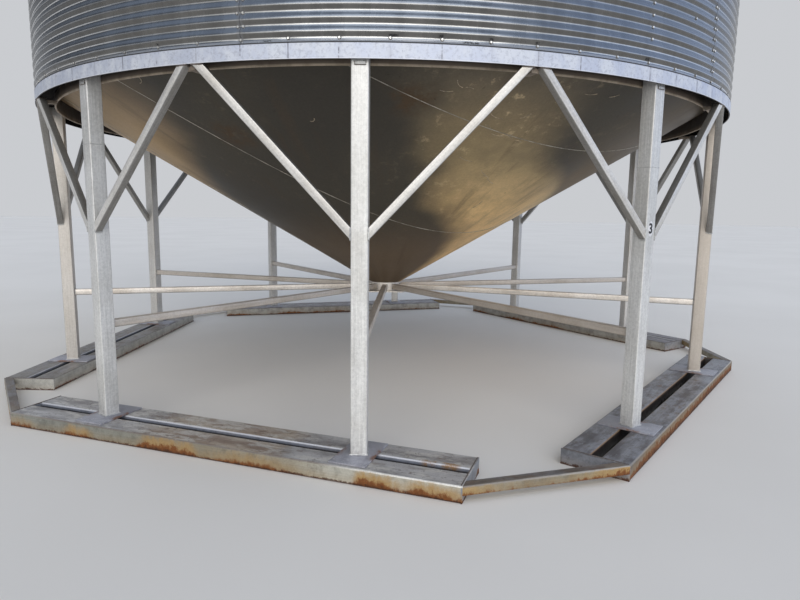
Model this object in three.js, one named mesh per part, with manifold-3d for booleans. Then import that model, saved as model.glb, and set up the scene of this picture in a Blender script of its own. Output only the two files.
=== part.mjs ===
// Hopper-bottom grain silo: a round corrugated steel bin over a steep cone, held by a ring
// beam on ten square legs with V-braces, and standing on five twin-tube skids tied together
// at their corners. Millimetres, +Z up, the ground at z = 0. Azimuth 0 looks along -Y and
// grows towards +X.

import * as THREE from 'three';
import { mergeVertices } from 'three/addons/utils/BufferGeometryUtils.js';
import Module from 'manifold-3d';

const wasm = await Module();
wasm.setup();

const { sin, cos, tan } = Math;
const { degToRad } = THREE.MathUtils;

// Driving dimensions

const WALL_RADIUS = 2910;
const ROUND_SIDES = 60;
const SEAT_GAP = 0.3;

const SKID_COUNT = 5;
const LEG_COUNT = 10;
const SKID_STEP = 360 / SKID_COUNT;
const LEG_STEP = 360 / LEG_COUNT;
const HALF_LEG_STEP = LEG_STEP / 2;

const SKID_TUBE_WIDTH = 164;
const SKID_HEIGHT = 92;
const SKID_SLOT = 61;
const SKID_OUTER = 2889;
const SKID_HALF_LENGTH = 1505;
const SKID_END_PLATE = 8;

const TIE_OUTER = 3222;
const TIE_WIDTH = 62;
const TIE_HEIGHT = 51;

const LEG_TUBE = 91;
const LEG_RADIUS = 2832;
const FOOT_ALONG = 210;
const FOOT_ACROSS = 345;
const FOOT_THICK = 9;

const RING_BOTTOM = 2153;
const RING_HEIGHT = 78;
const RING_THICK = 8;

const BRACE_TUBE = 45;
const BRACE_FOOT_Z = 1298;
const BRACE_FOOT_RADIUS = 2855.5;
const BRACE_TOP_RADIUS = 2884;
const BRACE_TOP_OFFSET = 45;
const STRUT_WIDTH = 40;
const STRUT_HEIGHT = 25;
const STRUT_OUTER = 2880;

const SKIRT_RADIUS = 2786;
const SKIRT_THICK = 6;
const SKIRT_BOTTOM = 2148;

const CONE_SLOPE = 30.42;
const CONE_LOW_RADIUS = 136;
const CONE_LOW_Z = 720.7;
const CONE_THICK = 4;

const COLLAR_RADIUS = 152;
const COLLAR_WALL = 6;
const FLANGE_SIZE = 380;
const FLANGE_BOTTOM = 636;
const FLANGE_THICK = 12;
const FLANGE_BORE = 140;
const SPOKE_TUBE = 50;
const SPOKE_CENTRE_Z = 686.5;

const TIER_COUNT = 6;
const TIER_HEIGHT = 762;
const SHEET_DEPTH = 12.7;

const ROOF_SLOPE = 28;
const ROOF_OVERHANG = 65;
const ROOF_THICK = 14;
const ROOF_RIBS = 30;
const RIB_HEIGHT = 45;
const RIB_WIDTH = 32;
const RIB_INSET = 15;
const PEAK_RADIUS = 390;
const PEAK_WALL = 6;
const PEAK_RISE = 130;
const PEAK_DROP = 40;
const CAP_RADIUS = 430;
const CAP_RIM = 40;
const CAP_SLOPE = 20;

// Sizes that follow from them

const SKID_WIDTH = 2 * SKID_TUBE_WIDTH + SKID_SLOT;
const RING_TOP = RING_BOTTOM + RING_HEIGHT;
const WALL_BOTTOM = RING_TOP + SEAT_GAP;
const WALL_TOP = WALL_BOTTOM + TIER_COUNT * TIER_HEIGHT;
const COLLAR_BOTTOM = FLANGE_BOTTOM + FLANGE_THICK + SEAT_GAP;

// The base has five sides, so the silo reaches further to +X, where a tie lies, than to -X,
// where the roof's edge does. The origin is the middle of its plan.
const AXIS_X = -(TIE_OUTER - WALL_RADIUS - ROOF_OVERHANG) / 2;

const coneUnderside = (radius) =>
  CONE_LOW_Z + (radius - CONE_LOW_RADIUS) * tan(degToRad(CONE_SLOPE));
const roofUnderside = (radius) =>
  WALL_TOP + (WALL_RADIUS - radius) * tan(degToRad(ROOF_SLOPE));

// Finishes

const finish = (name, color, roughness, metalness) =>
  new THREE.MeshStandardMaterial({ name, color, roughness, metalness });

const silverPaint = finish('silver_paint', 0xb9bcbf, 0.5, 0.35);
const skidPaint = finish('skid_paint', 0xa9a5a2, 0.65, 0.25);
const hopperPaint = finish('hopper_paint', 0x6a655d, 0.55, 0.35);
const galvanised = finish('galvanised_sheet', 0x9aa3ab, 0.35, 0.85);
const roofSheet = finish('roof_sheet', 0xa7adb2, 0.4, 0.8);

// Solids

function toSolid(geometry) {
  const bare = geometry.clone();
  bare.deleteAttribute('normal');
  bare.deleteAttribute('uv');
  const merged = mergeVertices(bare);
  const corners = Array.from(merged.index.array);
  const kept = [];
  for (let i = 0; i < corners.length; i += 3) {
    const [a, b, c] = corners.slice(i, i + 3);
    if (a !== b && b !== c && c !== a) kept.push(a, b, c);
  }
  return new wasm.Manifold(new wasm.Mesh({
    numProp: 3,
    vertProperties: new Float32Array(merged.attributes.position.array),
    triVerts: new Uint32Array(kept),
  }));
}

function toGeometry(solid) {
  const { vertProperties, triVerts } = solid.getMesh();
  const geometry = new THREE.BufferGeometry();
  geometry.setAttribute('position', new THREE.BufferAttribute(vertProperties, 3));
  geometry.setIndex(new THREE.BufferAttribute(triVerts, 1));
  geometry.computeVertexNormals();
  return geometry;
}

function join(geometries) {
  return toGeometry(geometries.map(toSolid).reduce((sum, next) => sum.add(next)));
}

// Turns a closed section, given as [radius, z] anticlockwise, around the silo's axis.
function turned(section, sides = ROUND_SIDES) {
  const loop = [...section, section[0]].map(([radius, z]) => new THREE.Vector2(radius, z));
  return new THREE.LatheGeometry(loop, sides).rotateX(Math.PI / 2);
}

function tubeSection(outer, thick, low, high) {
  return [[outer - thick, low], [outer, low], [outer, high], [outer - thick, high]];
}

function plate(outline, low, height, holes = []) {
  const shape = new THREE.Shape(outline.map(([x, y]) => new THREE.Vector2(x, y)));
  for (const hole of holes) shape.holes.push(hole);
  const geometry = new THREE.ExtrudeGeometry(shape, { depth: height, bevelEnabled: false });
  return geometry.translate(0, 0, low);
}

function rectangle(halfX, nearY, farY) {
  return [[-halfX, -farY], [halfX, -farY], [halfX, -nearY], [-halfX, -nearY]];
}

function box(width, depth, low, high, radius = 0) {
  const geometry = new THREE.BoxGeometry(width, depth, high - low);
  return geometry.translate(0, -radius, (low + high) / 2);
}

// A square bar along the line from start to end, cut off by a plane at each end.
function mitredBar(start, end, size, startPlane, endPlane) {
  const along = end.clone().sub(start).normalize();
  const side = new THREE.Vector3(0, 0, 1).cross(along).normalize();
  const over = along.clone().cross(side);
  const half = size / 2;
  const ring = [[-half, -half], [half, -half], [half, half], [-half, half]];
  const cornerOn = (plane, [u, v]) => {
    const through = start.clone().addScaledVector(side, u).addScaledVector(over, v);
    const travel = -plane.distanceToPoint(through) / plane.normal.dot(along);
    return through.addScaledVector(along, travel);
  };
  const corners = [startPlane, endPlane].flatMap((cut) => ring.map((uv) => cornerOn(cut, uv)));
  const quads = [[3, 2, 1, 0], [4, 5, 6, 7], [0, 1, 5, 4], [1, 2, 6, 5], [2, 3, 7, 6], [3, 0, 4, 7]];
  const geometry = new THREE.BufferGeometry();
  geometry.setFromPoints(corners);
  geometry.setIndex(quads.flatMap(([a, b, c, d]) => [a, b, c, a, c, d]));
  return geometry;
}

// Assembly: every piece is shaped at azimuth 0 and then turned to its own azimuth.

const silo = new THREE.Group();
silo.name = 'grain_silo';
silo.position.x = AXIS_X;

function place(name, geometry, material, azimuth = 0) {
  const mesh = new THREE.Mesh(geometry, material);
  mesh.name = name;
  mesh.rotation.z = degToRad(azimuth);
  silo.add(mesh);
}

const skidAzimuth = (index) => -HALF_LEG_STEP + index * SKID_STEP;

// Skids: two tubes side by side with a slot between them, closed by a plate at each end.
function skidShape() {
  const slotNear = SKID_OUTER - SKID_TUBE_WIDTH - SKID_SLOT;
  const slotHalf = SKID_HALF_LENGTH - SKID_END_PLATE;
  const slot = new THREE.Path(
    rectangle(slotHalf, slotNear, slotNear + SKID_SLOT).map(([x, y]) => new THREE.Vector2(x, y)),
  );
  const outline = rectangle(SKID_HALF_LENGTH, SKID_OUTER - SKID_WIDTH, SKID_OUTER);
  return plate(outline, 0, SKID_HEIGHT, [slot]);
}

// Ties: short bars between the outer corners of neighbouring skids, mitred to their ends.
function tieShape() {
  const turn = degToRad(LEG_STEP);
  const reach = (distance) =>
    (distance * sin(turn) - SKID_HALF_LENGTH - SEAT_GAP) / cos(turn);
  const inner = TIE_OUTER - TIE_WIDTH;
  const outline = [
    [-reach(TIE_OUTER), -TIE_OUTER],
    [reach(TIE_OUTER), -TIE_OUTER],
    [reach(inner), -inner],
    [-reach(inner), -inner],
  ];
  return plate(outline, SKID_HEIGHT - TIE_HEIGHT, TIE_HEIGHT);
}

// Legs: a square tube on a foot plate. The tube faces the silo's axis and the plate lies
// square on the skid, which is turned half a leg step to one side.
function legShape(side) {
  const footLow = SKID_HEIGHT + SEAT_GAP;
  const footHigh = footLow + FOOT_THICK;
  const foot = box(FOOT_ALONG, FOOT_ACROSS, footLow, footHigh)
    .rotateZ(degToRad(-side * HALF_LEG_STEP))
    .translate(0, -LEG_RADIUS, 0);
  const tube = box(
    LEG_TUBE, LEG_TUBE, footHigh - 1, RING_TOP - RING_THICK - SEAT_GAP, LEG_RADIUS,
  );
  return join([foot, tube]);
}

// Braces: two sloping tubes from the sides of neighbouring legs up to the ring, and the
// short strut that runs in from their top ends to the skirt.
function braceShape() {
  const ceiling = new THREE.Plane(new THREE.Vector3(0, 0, 1), SEAT_GAP - RING_BOTTOM);
  const bars = [-1, 1].map((side) => {
    const legTurn = degToRad(side * HALF_LEG_STEP);
    const outward = new THREE.Vector3(sin(legTurn), -cos(legTurn), 0);
    const inward = new THREE.Vector3(-side * cos(legTurn), -side * sin(legTurn), 0);
    const start = outward.clone().multiplyScalar(BRACE_FOOT_RADIUS)
      .addScaledVector(inward, LEG_TUBE / 2);
    start.z = BRACE_FOOT_Z;
    const end = new THREE.Vector3(side * BRACE_TOP_OFFSET, -BRACE_TOP_RADIUS, RING_BOTTOM);
    const legFace = new THREE.Plane(inward, -(LEG_TUBE / 2 + SEAT_GAP));
    return mitredBar(start, end, BRACE_TUBE, legFace, ceiling);
  });
  const strutHigh = RING_BOTTOM - SEAT_GAP;
  const strutInner = SKIRT_RADIUS + SEAT_GAP;
  const strut = box(
    STRUT_WIDTH, STRUT_OUTER - strutInner, strutHigh - STRUT_HEIGHT, strutHigh,
    (STRUT_OUTER + strutInner) / 2,
  );
  return join([...bars, strut]);
}

// Hub: the collar around the cone's outlet, and the spokes that tie it to the legs.
function hubShape() {
  const inner = COLLAR_RADIUS - COLLAR_WALL;
  const collarTop = coneUnderside(inner) - SEAT_GAP;
  const collar = turned(tubeSection(COLLAR_RADIUS, COLLAR_WALL, COLLAR_BOTTOM, collarTop));
  const spokeStart = COLLAR_RADIUS - COLLAR_WALL / 2;
  const spokeEnd = LEG_RADIUS - LEG_TUBE / 2 - SEAT_GAP;
  const low = SPOKE_CENTRE_Z - SPOKE_TUBE / 2;
  const spokes = Array.from({ length: LEG_COUNT }, (_, index) => box(
    SPOKE_TUBE, spokeEnd - spokeStart, low, low + SPOKE_TUBE, (spokeStart + spokeEnd) / 2,
  ).rotateZ(degToRad(index * LEG_STEP)));
  return join([collar, ...spokes]);
}

function flangeShape() {
  const half = FLANGE_SIZE / 2;
  const bore = new THREE.Path().absarc(0, 0, FLANGE_BORE, 0, 2 * Math.PI, true);
  const shape = new THREE.Shape(
    [[-half, -half], [half, -half], [half, half], [-half, half]]
      .map(([x, y]) => new THREE.Vector2(x, y)),
  );
  shape.holes.push(bore);
  return new THREE.ExtrudeGeometry(shape, { depth: FLANGE_THICK, bevelEnabled: false })
    .translate(0, 0, FLANGE_BOTTOM);
}

// Ring beam: an outer band, and a top plate that reaches in to the skirt over the legs.
function ringShape() {
  const inner = SKIRT_RADIUS + SEAT_GAP;
  return turned([
    [WALL_RADIUS - RING_THICK, RING_BOTTOM],
    [WALL_RADIUS, RING_BOTTOM],
    [WALL_RADIUS, RING_TOP],
    [inner, RING_TOP],
    [inner, RING_TOP - RING_THICK],
    [WALL_RADIUS - RING_THICK, RING_TOP - RING_THICK],
  ]);
}

function skirtShape() {
  const top = coneUnderside(SKIRT_RADIUS - SKIRT_THICK) - SEAT_GAP;
  return turned(tubeSection(SKIRT_RADIUS, SKIRT_THICK, SKIRT_BOTTOM, top));
}

// Cone: a thin steel shell from the outlet up to the inside of the wall.
function coneShape() {
  const rim = WALL_RADIUS - SHEET_DEPTH - SEAT_GAP;
  const lift = CONE_THICK / cos(degToRad(CONE_SLOPE));
  return turned([
    [CONE_LOW_RADIUS, CONE_LOW_Z],
    [rim, coneUnderside(rim)],
    [rim, coneUnderside(rim) + lift],
    [CONE_LOW_RADIUS, CONE_LOW_Z + lift],
  ]);
}

function tierShape(index) {
  const low = WALL_BOTTOM + index * TIER_HEIGHT;
  return turned(tubeSection(WALL_RADIUS, SHEET_DEPTH, low, low + TIER_HEIGHT - SEAT_GAP));
}

// Roof: a conical deck that overhangs the wall, with raised ribs along its panel seams.
function roofShape() {
  const edge = WALL_RADIUS + ROOF_OVERHANG;
  const deck = turned([
    [edge, roofUnderside(edge)],
    [edge, roofUnderside(edge) + ROOF_THICK],
    [PEAK_RADIUS, roofUnderside(PEAK_RADIUS) + ROOF_THICK],
    [PEAK_RADIUS, roofUnderside(PEAK_RADIUS)],
  ]);
  const ribOuter = edge - RIB_INSET;
  const ribInner = PEAK_RADIUS + RIB_INSET;
  const middle = (ribOuter + ribInner) / 2;
  const ribLength = (ribOuter - ribInner) / cos(degToRad(ROOF_SLOPE));
  const ribs = Array.from({ length: ROOF_RIBS }, (_, index) =>
    new THREE.BoxGeometry(RIB_WIDTH, ribLength, RIB_HEIGHT)
      .rotateX(degToRad(ROOF_SLOPE))
      .translate(0, -middle, roofUnderside(middle) + ROOF_THICK / 2 + RIB_HEIGHT / 2)
      .rotateZ(degToRad(index * 360 / ROOF_RIBS)));
  return join([deck, ...ribs]);
}

const peakTop = roofUnderside(PEAK_RADIUS) + PEAK_RISE;

function peakShape() {
  const low = roofUnderside(PEAK_RADIUS) - PEAK_DROP;
  return turned(tubeSection(PEAK_RADIUS - SEAT_GAP, PEAK_WALL, low, peakTop));
}

function capShape() {
  const low = peakTop + SEAT_GAP;
  const rise = CAP_RADIUS * tan(degToRad(CAP_SLOPE));
  const loop = [[0, low], [CAP_RADIUS, low], [CAP_RADIUS, low + CAP_RIM], [0, low + CAP_RIM + rise]];
  return toGeometry(toSolid(turned(loop)));
}

for (let index = 0; index < SKID_COUNT; index += 1) {
  const azimuth = skidAzimuth(index);
  place(`skid_${index + 1}`, skidShape(), skidPaint, azimuth);
  place(`corner_tie_${index + 1}`, tieShape(), skidPaint, azimuth + LEG_STEP);
  for (const side of [-1, 1]) {
    const number = 2 * index + (side + 3) / 2;
    place(`leg_${number}`, legShape(side), silverPaint, azimuth + side * HALF_LEG_STEP);
  }
}
for (let index = 0; index < LEG_COUNT; index += 1) {
  place(`brace_pair_${index + 1}`, braceShape(), silverPaint, index * LEG_STEP - HALF_LEG_STEP);
}
place('outlet_hub', hubShape(), silverPaint);
place('outlet_flange', flangeShape(), silverPaint);
place('ring_beam', ringShape(), silverPaint);
place('hopper_skirt', skirtShape(), hopperPaint);
place('hopper_cone', coneShape(), hopperPaint);
for (let index = 0; index < TIER_COUNT; index += 1) {
  place(`wall_tier_${index + 1}`, tierShape(index), galvanised);
}
place('roof_deck', roofShape(), roofSheet);
place('roof_peak_collar', peakShape(), roofSheet);
place('roof_cap', capShape(), roofSheet);

export default silo;
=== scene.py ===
"""Looks of a hopper-bottom grain silo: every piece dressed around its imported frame.

Metres, +Z up. Azimuth 0 looks along -Y from the silo's axis and grows towards +X.
"""
import random
from math import atan2, ceil, cos, degrees, exp, hypot, pi, radians, sin, tan

import bmesh
import bpy
from mathutils import Matrix, Vector, noise


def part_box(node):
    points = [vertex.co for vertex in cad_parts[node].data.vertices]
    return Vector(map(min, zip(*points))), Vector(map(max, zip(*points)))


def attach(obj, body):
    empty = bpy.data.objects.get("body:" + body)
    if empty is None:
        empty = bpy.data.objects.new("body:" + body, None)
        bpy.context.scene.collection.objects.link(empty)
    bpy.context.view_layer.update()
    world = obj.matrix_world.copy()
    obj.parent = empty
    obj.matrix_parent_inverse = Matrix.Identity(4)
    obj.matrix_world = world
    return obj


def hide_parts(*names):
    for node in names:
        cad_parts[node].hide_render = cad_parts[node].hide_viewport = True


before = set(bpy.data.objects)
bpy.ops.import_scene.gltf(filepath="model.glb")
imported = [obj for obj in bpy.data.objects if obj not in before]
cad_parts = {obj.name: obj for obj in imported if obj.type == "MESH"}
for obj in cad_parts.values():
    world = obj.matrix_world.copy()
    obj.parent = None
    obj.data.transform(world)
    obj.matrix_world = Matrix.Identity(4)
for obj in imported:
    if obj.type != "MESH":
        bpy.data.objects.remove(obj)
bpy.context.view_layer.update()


def half_width(node):
    low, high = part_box(node)
    return (high.x - low.x) / 2


# Sizes read from the frame

ring_low, ring_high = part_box("ring_beam")
skirt_low, skirt_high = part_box("hopper_skirt")
skid_low, skid_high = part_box("skid_5")
cap_low, cap_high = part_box("roof_cap")
collar_low, collar_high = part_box("roof_peak_collar")
flange_low, flange_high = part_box("outlet_flange")

AXIS_X = (ring_low.x + ring_high.x) / 2
WALL_RADIUS = half_width("ring_beam")
RING_BOTTOM = ring_low.z
RING_TOP = ring_high.z
WALL_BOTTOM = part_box("wall_tier_1")[0].z
TIER_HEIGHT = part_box("wall_tier_2")[0].z - WALL_BOTTOM
SKIRT_RADIUS = half_width("hopper_skirt")
SKIRT_BOTTOM = skirt_low.z
SKID_HEIGHT = skid_high.z
SKID_OUTER = AXIS_X - skid_low.x
SKID_INNER = AXIS_X - skid_high.x
SKID_HALF_LENGTH = skid_high.y
TIE_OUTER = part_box("corner_tie_2")[1].x - AXIS_X
ROOF_EDGE = half_width("roof_deck")
ROOF_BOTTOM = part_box("roof_deck")[0].z
CAP_RADIUS = half_width("roof_cap")
PEAK_RADIUS = half_width("roof_peak_collar")
FLANGE_HALF = half_width("outlet_flange")

# Sizes that the frame holds inside a piece

LEG_COUNT = 10
LEG_STEP = 36
SKID_COUNT = 5
TIER_COUNT = 6
SKID_TUBE_WIDTH = 0.164
SKID_END_PLATE = 0.008
TIE_WIDTH = 0.062
TIE_HEIGHT = 0.051
LEG_TUBE = 0.091
LEG_RADIUS = 2.832
FOOT_ALONG = 0.21
FOOT_ACROSS = 0.345
FOOT_THICK = 0.009
RING_THICK = 0.008
BRACE_TUBE = 0.045
BRACE_FOOT_Z = 1.298
BRACE_FOOT_RADIUS = 2.8555
BRACE_TOP_RADIUS = 2.884
BRACE_TOP_OFFSET = 0.045
STRUT_WIDTH = 0.04
STRUT_HEIGHT = 0.025
STRUT_OUTER = 2.88
SKIRT_THICK = 0.006
CONE_SLOPE = radians(30.42)
CONE_LOW_RADIUS = 0.136
CONE_LOW_Z = 0.7207
CONE_THICK = 0.004
COLLAR_RADIUS = 0.152
COLLAR_WALL = 0.006
FLANGE_BORE = 0.14
SPOKE_TUBE = 0.05
SPOKE_CENTRE_Z = 0.6865
SHEET_DEPTH = 0.0127
ROOF_SLOPE = radians(28)
ROOF_THICK = 0.014
PEAK_WALL = 0.006
RIB_COUNT = 30
RIB_HEIGHT = 0.052
SEAT_GAP = 0.0003

# Fine detail. A sheet's span, its overlap on each side and the bolts' step and start are in degrees.

PITCH = 0.0635
LOW_VALLEY = 2.254
SHEETS_PER_TIER = 6
SHEET_SPAN = 60
SHEET_OVERLAP = 0.45
BOLT_STEP = 5
FIRST_BOLT = -12
LAP = 0.0013

# The camera, solved from the photograph

CAMERA_AT = Vector((AXIS_X + 0.2883, -6.0245, 1.4177))
CAMERA_HEADING = radians(-1.352)
CAMERA_PITCH = radians(8.324)
CAMERA_ROLL = radians(0.755)
FOCAL_PIXELS = 609.27
IMAGE_WIDTH = 800
SENSOR = 36
CLIP_END = 400

ALONG_X = Vector((1, 0, 0))
ALONG_Y = Vector((0, 1, 0))
UP = Vector((0, 0, 1))


def rotation(angle, axis="Z"):
    return Matrix.Rotation(radians(angle), 4, axis)


def turn(azimuth):
    """The turn about the silo's axis that carries azimuth 0 to this one."""
    return Matrix.Translation(AXIS_X * ALONG_X) @ rotation(azimuth)


def ahead(radius, z, x=0.0):
    """A point at azimuth 0, before a turn carries it to its place."""
    return Vector((x, -radius, z))


def polar(radius, azimuth, z):
    """A point in the row frame, with the azimuth in degrees."""
    angle = radians(azimuth)
    return Vector((AXIS_X + radius * sin(angle), -radius * cos(angle), z))


def cone_underside(radius):
    return CONE_LOW_Z + (radius - CONE_LOW_RADIUS) * tan(CONE_SLOPE)


def placed(name, data):
    """A new object in the scene."""
    made = bpy.data.objects.new(name, data)
    bpy.context.scene.collection.objects.link(made)
    return made


# Node materials


class Nodes:
    """Short calls for the nodes that the finishes and the studio share."""

    def __init__(self, tree):
        self.tree = tree

    def feed(self, socket, value):
        if isinstance(value, bpy.types.NodeSocket):
            self.tree.links.new(value, socket)
        else:
            socket.default_value = (*value, 1) if socket.type == "RGBA" else value

    def make(self, kind, given=(), **settings):
        """A node with these settings, its first sockets or the named ones filled from given."""
        node = self.tree.nodes.new("ShaderNode" + kind)
        for name, value in settings.items():
            setattr(node, name, value)
        for key, value in given.items() if isinstance(given, dict) else enumerate(given):
            self.feed(node.inputs[key], value)
        return node

    def math(self, operation, *values):
        return self.make("Math", values, operation=operation).outputs[0]

    def chain(self, operation, values):
        result = values[0]
        for value in values[1:]:
            result = self.math(operation, result, value)
        return result

    def plus(self, *values):
        return self.chain("ADD", values)

    def minus(self, *values):
        return self.chain("SUBTRACT", values)

    def times(self, *values):
        return self.chain("MULTIPLY", values)

    def most(self, *values):
        return self.chain("MAXIMUM", values)

    def parts(self, vector):
        return self.make("SeparateXYZ", (vector,)).outputs

    def joined(self, x, y, z):
        return self.make("CombineXYZ", (x, y, z)).outputs[0]

    def noise(self, vector, scale, detail=4, rough=0.55):
        """Noise at one scale, or at one for each axis."""
        if isinstance(scale, tuple):
            vector = self.make("VectorMath", (vector, scale), operation="MULTIPLY").outputs[0]
            scale = 1
        given = {"Vector": vector, "Scale": scale, "Detail": detail, "Roughness": rough}
        return self.make("TexNoise", given).outputs[0]

    def cells(self, vector, scale):
        colours = self.make("TexVoronoi", {"Vector": vector, "Scale": scale}).outputs["Color"]
        return self.parts(colours)[0]

    def ramp(self, value, start, stop, low=0.0, high=1.0):
        """Eases from low at start to high at stop."""
        given = (value, start, stop, low, high)
        return self.make("MapRange", given, interpolation_type="SMOOTHSTEP").outputs[0]

    def window(self, value, centre, half, soft):
        """One within half of the centre, easing to nothing over the soft width."""
        return self.ramp(self.math("ABSOLUTE", self.minus(value, centre)), half + soft, half)

    def blend(self, mask, first, second):
        return self.make("Mix", {0: mask, 6: first, 7: second}, data_type="RGBA").outputs[2]

    def layers(self, ground, *coats):
        """The ground under coats, each a mask and a colour, from the lowest up."""
        for mask, colour in coats:
            ground = self.blend(mask, ground, colour)
        return ground

    def shade(self, colour, amount):
        """The colour times a number."""
        return self.make("VectorMath", {0: colour, "Scale": amount}, operation="SCALE").outputs[0]

    def stops(self, value, low, high, pairs):
        """Follows (place, grey or colour) pairs between low and high, in rising order."""
        node = self.make("ValToRGB", (self.make("MapRange", (value, low, high)).outputs[0],))
        elements = node.color_ramp.elements
        places = [(place - low) / (high - low) for place, _ in pairs]
        elements[0].position, elements[1].position = places[0], places[-1]
        for place in places[1:-1]:
            elements.new(place)
        for element, (_, colour) in zip(elements, pairs):
            element.color = (*(colour if isinstance(colour, tuple) else (colour,) * 3), 1)
        return node.outputs[0]


class Finish(Nodes):
    """A material's node tree around one shader."""

    def __init__(self, name, metallic=0.0, gloss=0.5):
        self.material = bpy.data.materials.new(name)
        self.material.use_nodes = True
        super().__init__(self.material.node_tree)
        self.tree.nodes.clear()
        self.shader = self.make("BsdfPrincipled", {"Metallic": metallic, "Specular IOR Level": gloss})
        self.make("OutputMaterial", (self.shader.outputs[0],))
        self.place = self.make("TexCoord").outputs["Object"]
        self.facing = self.make("NewGeometry").outputs["Normal"]

    def kept(self, name):
        """A vector that the mesh keeps at its vertices."""
        return self.make("Attribute", attribute_name=name).outputs["Vector"]

    def polar(self):
        """Azimuth in radians, radius about the silo's axis, and azimuth in degrees."""
        x, y, _ = self.parts(self.place)
        across = self.minus(x, AXIS_X)
        azimuth = self.math("ARCTAN2", across, self.times(y, -1))
        radius = self.math("SQRT", self.plus(self.times(across, across), self.times(y, y)))
        return azimuth, radius, self.times(azimuth, 180 / pi)

    def wrapped(self, azimuth, around, along):
        """Coordinates that run round the silo without a seam."""
        turns = [self.times(self.math(wave, azimuth), around) for wave in ("COSINE", "SINE")]
        return self.joined(*turns, along)

    def done(self, colour, roughness, height=None, strength=0.0, distance=0.0):
        """Feeds the shader, with a bump where a height is given, and gives the material."""
        self.feed(self.shader.inputs["Base Color"], colour)
        self.feed(self.shader.inputs["Roughness"], roughness)
        if height is not None:
            bump = self.make("Bump", {"Height": height, "Strength": strength, "Distance": distance})
            self.feed(self.shader.inputs["Normal"], bump.outputs[0])
        return self.material


def silver_paint(name, base, dirty, along_bar=True, metallic=0.5, shade_tint_by_azimuth=None, top=1.0, inner=1.0,
                 low=1.0):
    """Aluminium paint: mill streaks, speckle, thin dull coats underneath, grime and small chips.

    Faces that look down get a painted shade, and top and inner set the painted shade of faces that look up or
    inward. Low lightens the lowest parts as painted light; the tint by azimuth is painted shade.
    """
    f = Finish(name, metallic)
    azimuth, _, bearing = f.polar()
    z = f.parts(f.place)[2]
    lie = f.kept("grain") if along_bar else f.place
    streaks = f.noise(lie, (85, 85, 2.2), 5, 0.62)
    drawn = f.noise(lie, (240, 240, 9), 3, 0.7)
    mottle = f.ramp(f.noise(f.place, 70, 5, 0.75), 0.38, 0.62, -0.09, 0.06)
    tone = f.plus(f.ramp(streaks, 0.3, 0.7, 0.86, 1.06), f.ramp(drawn, 0.3, 0.7, -0.06, 0.06), mottle)
    x, y, rise = f.parts(f.facing)
    outward = f.minus(f.times(x, f.math("SINE", azimuth)), f.times(y, f.math("COSINE", azimuth)))
    # Painted shade by facing: faces that look down are darkened, and faces that look up or inward by top and
    # inner.
    under = f.times(f.ramp(rise, -0.08, -0.4, 1, 0.5), f.ramp(rise, 0.3, 0.6, 1, top),
                    f.ramp(outward, -0.5, -0.85, 1, inner))
    clouds = f.ramp(f.noise(f.place, 3.2, 4, 0.6), 0.38, 0.7)
    # Painted light by height: the lowest parts lighter and the highest darker, as low sets.
    painted_light_by_height = f.ramp(z, 2.2, 0.3, 2 - low, low)
    grime = f.times(f.ramp(z, 0.2, 0.1, 0, 0.3), f.ramp(f.noise(f.place, 22, 5, 0.7), 0.4, 0.62))
    # A brown tint by azimuth: painted shade on some legs and spokes.
    brown = [(f.stops(bearing, -180, 180, shade_tint_by_azimuth), (0.4, 0.33, 0.26))] if shade_tint_by_azimuth else []
    chips = f.ramp(f.noise(f.place, 46, 6, 0.78), 0.715, 0.745, 0, 0.75)
    colour = f.layers(f.shade(f.blend(clouds, base, dirty), f.times(tone, under, painted_light_by_height)),
                      (grime, (0.16, 0.13, 0.1)), *brown, (chips, (0.12, 0.085, 0.06)))
    specks = f.times(f.noise(f.place, 300, 3, 0.7), 0.4)
    return f.done(colour, f.ramp(streaks, 0.3, 0.7, 0.33, 0.5), f.plus(specks, streaks), 0.22, 0.0005)


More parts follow.
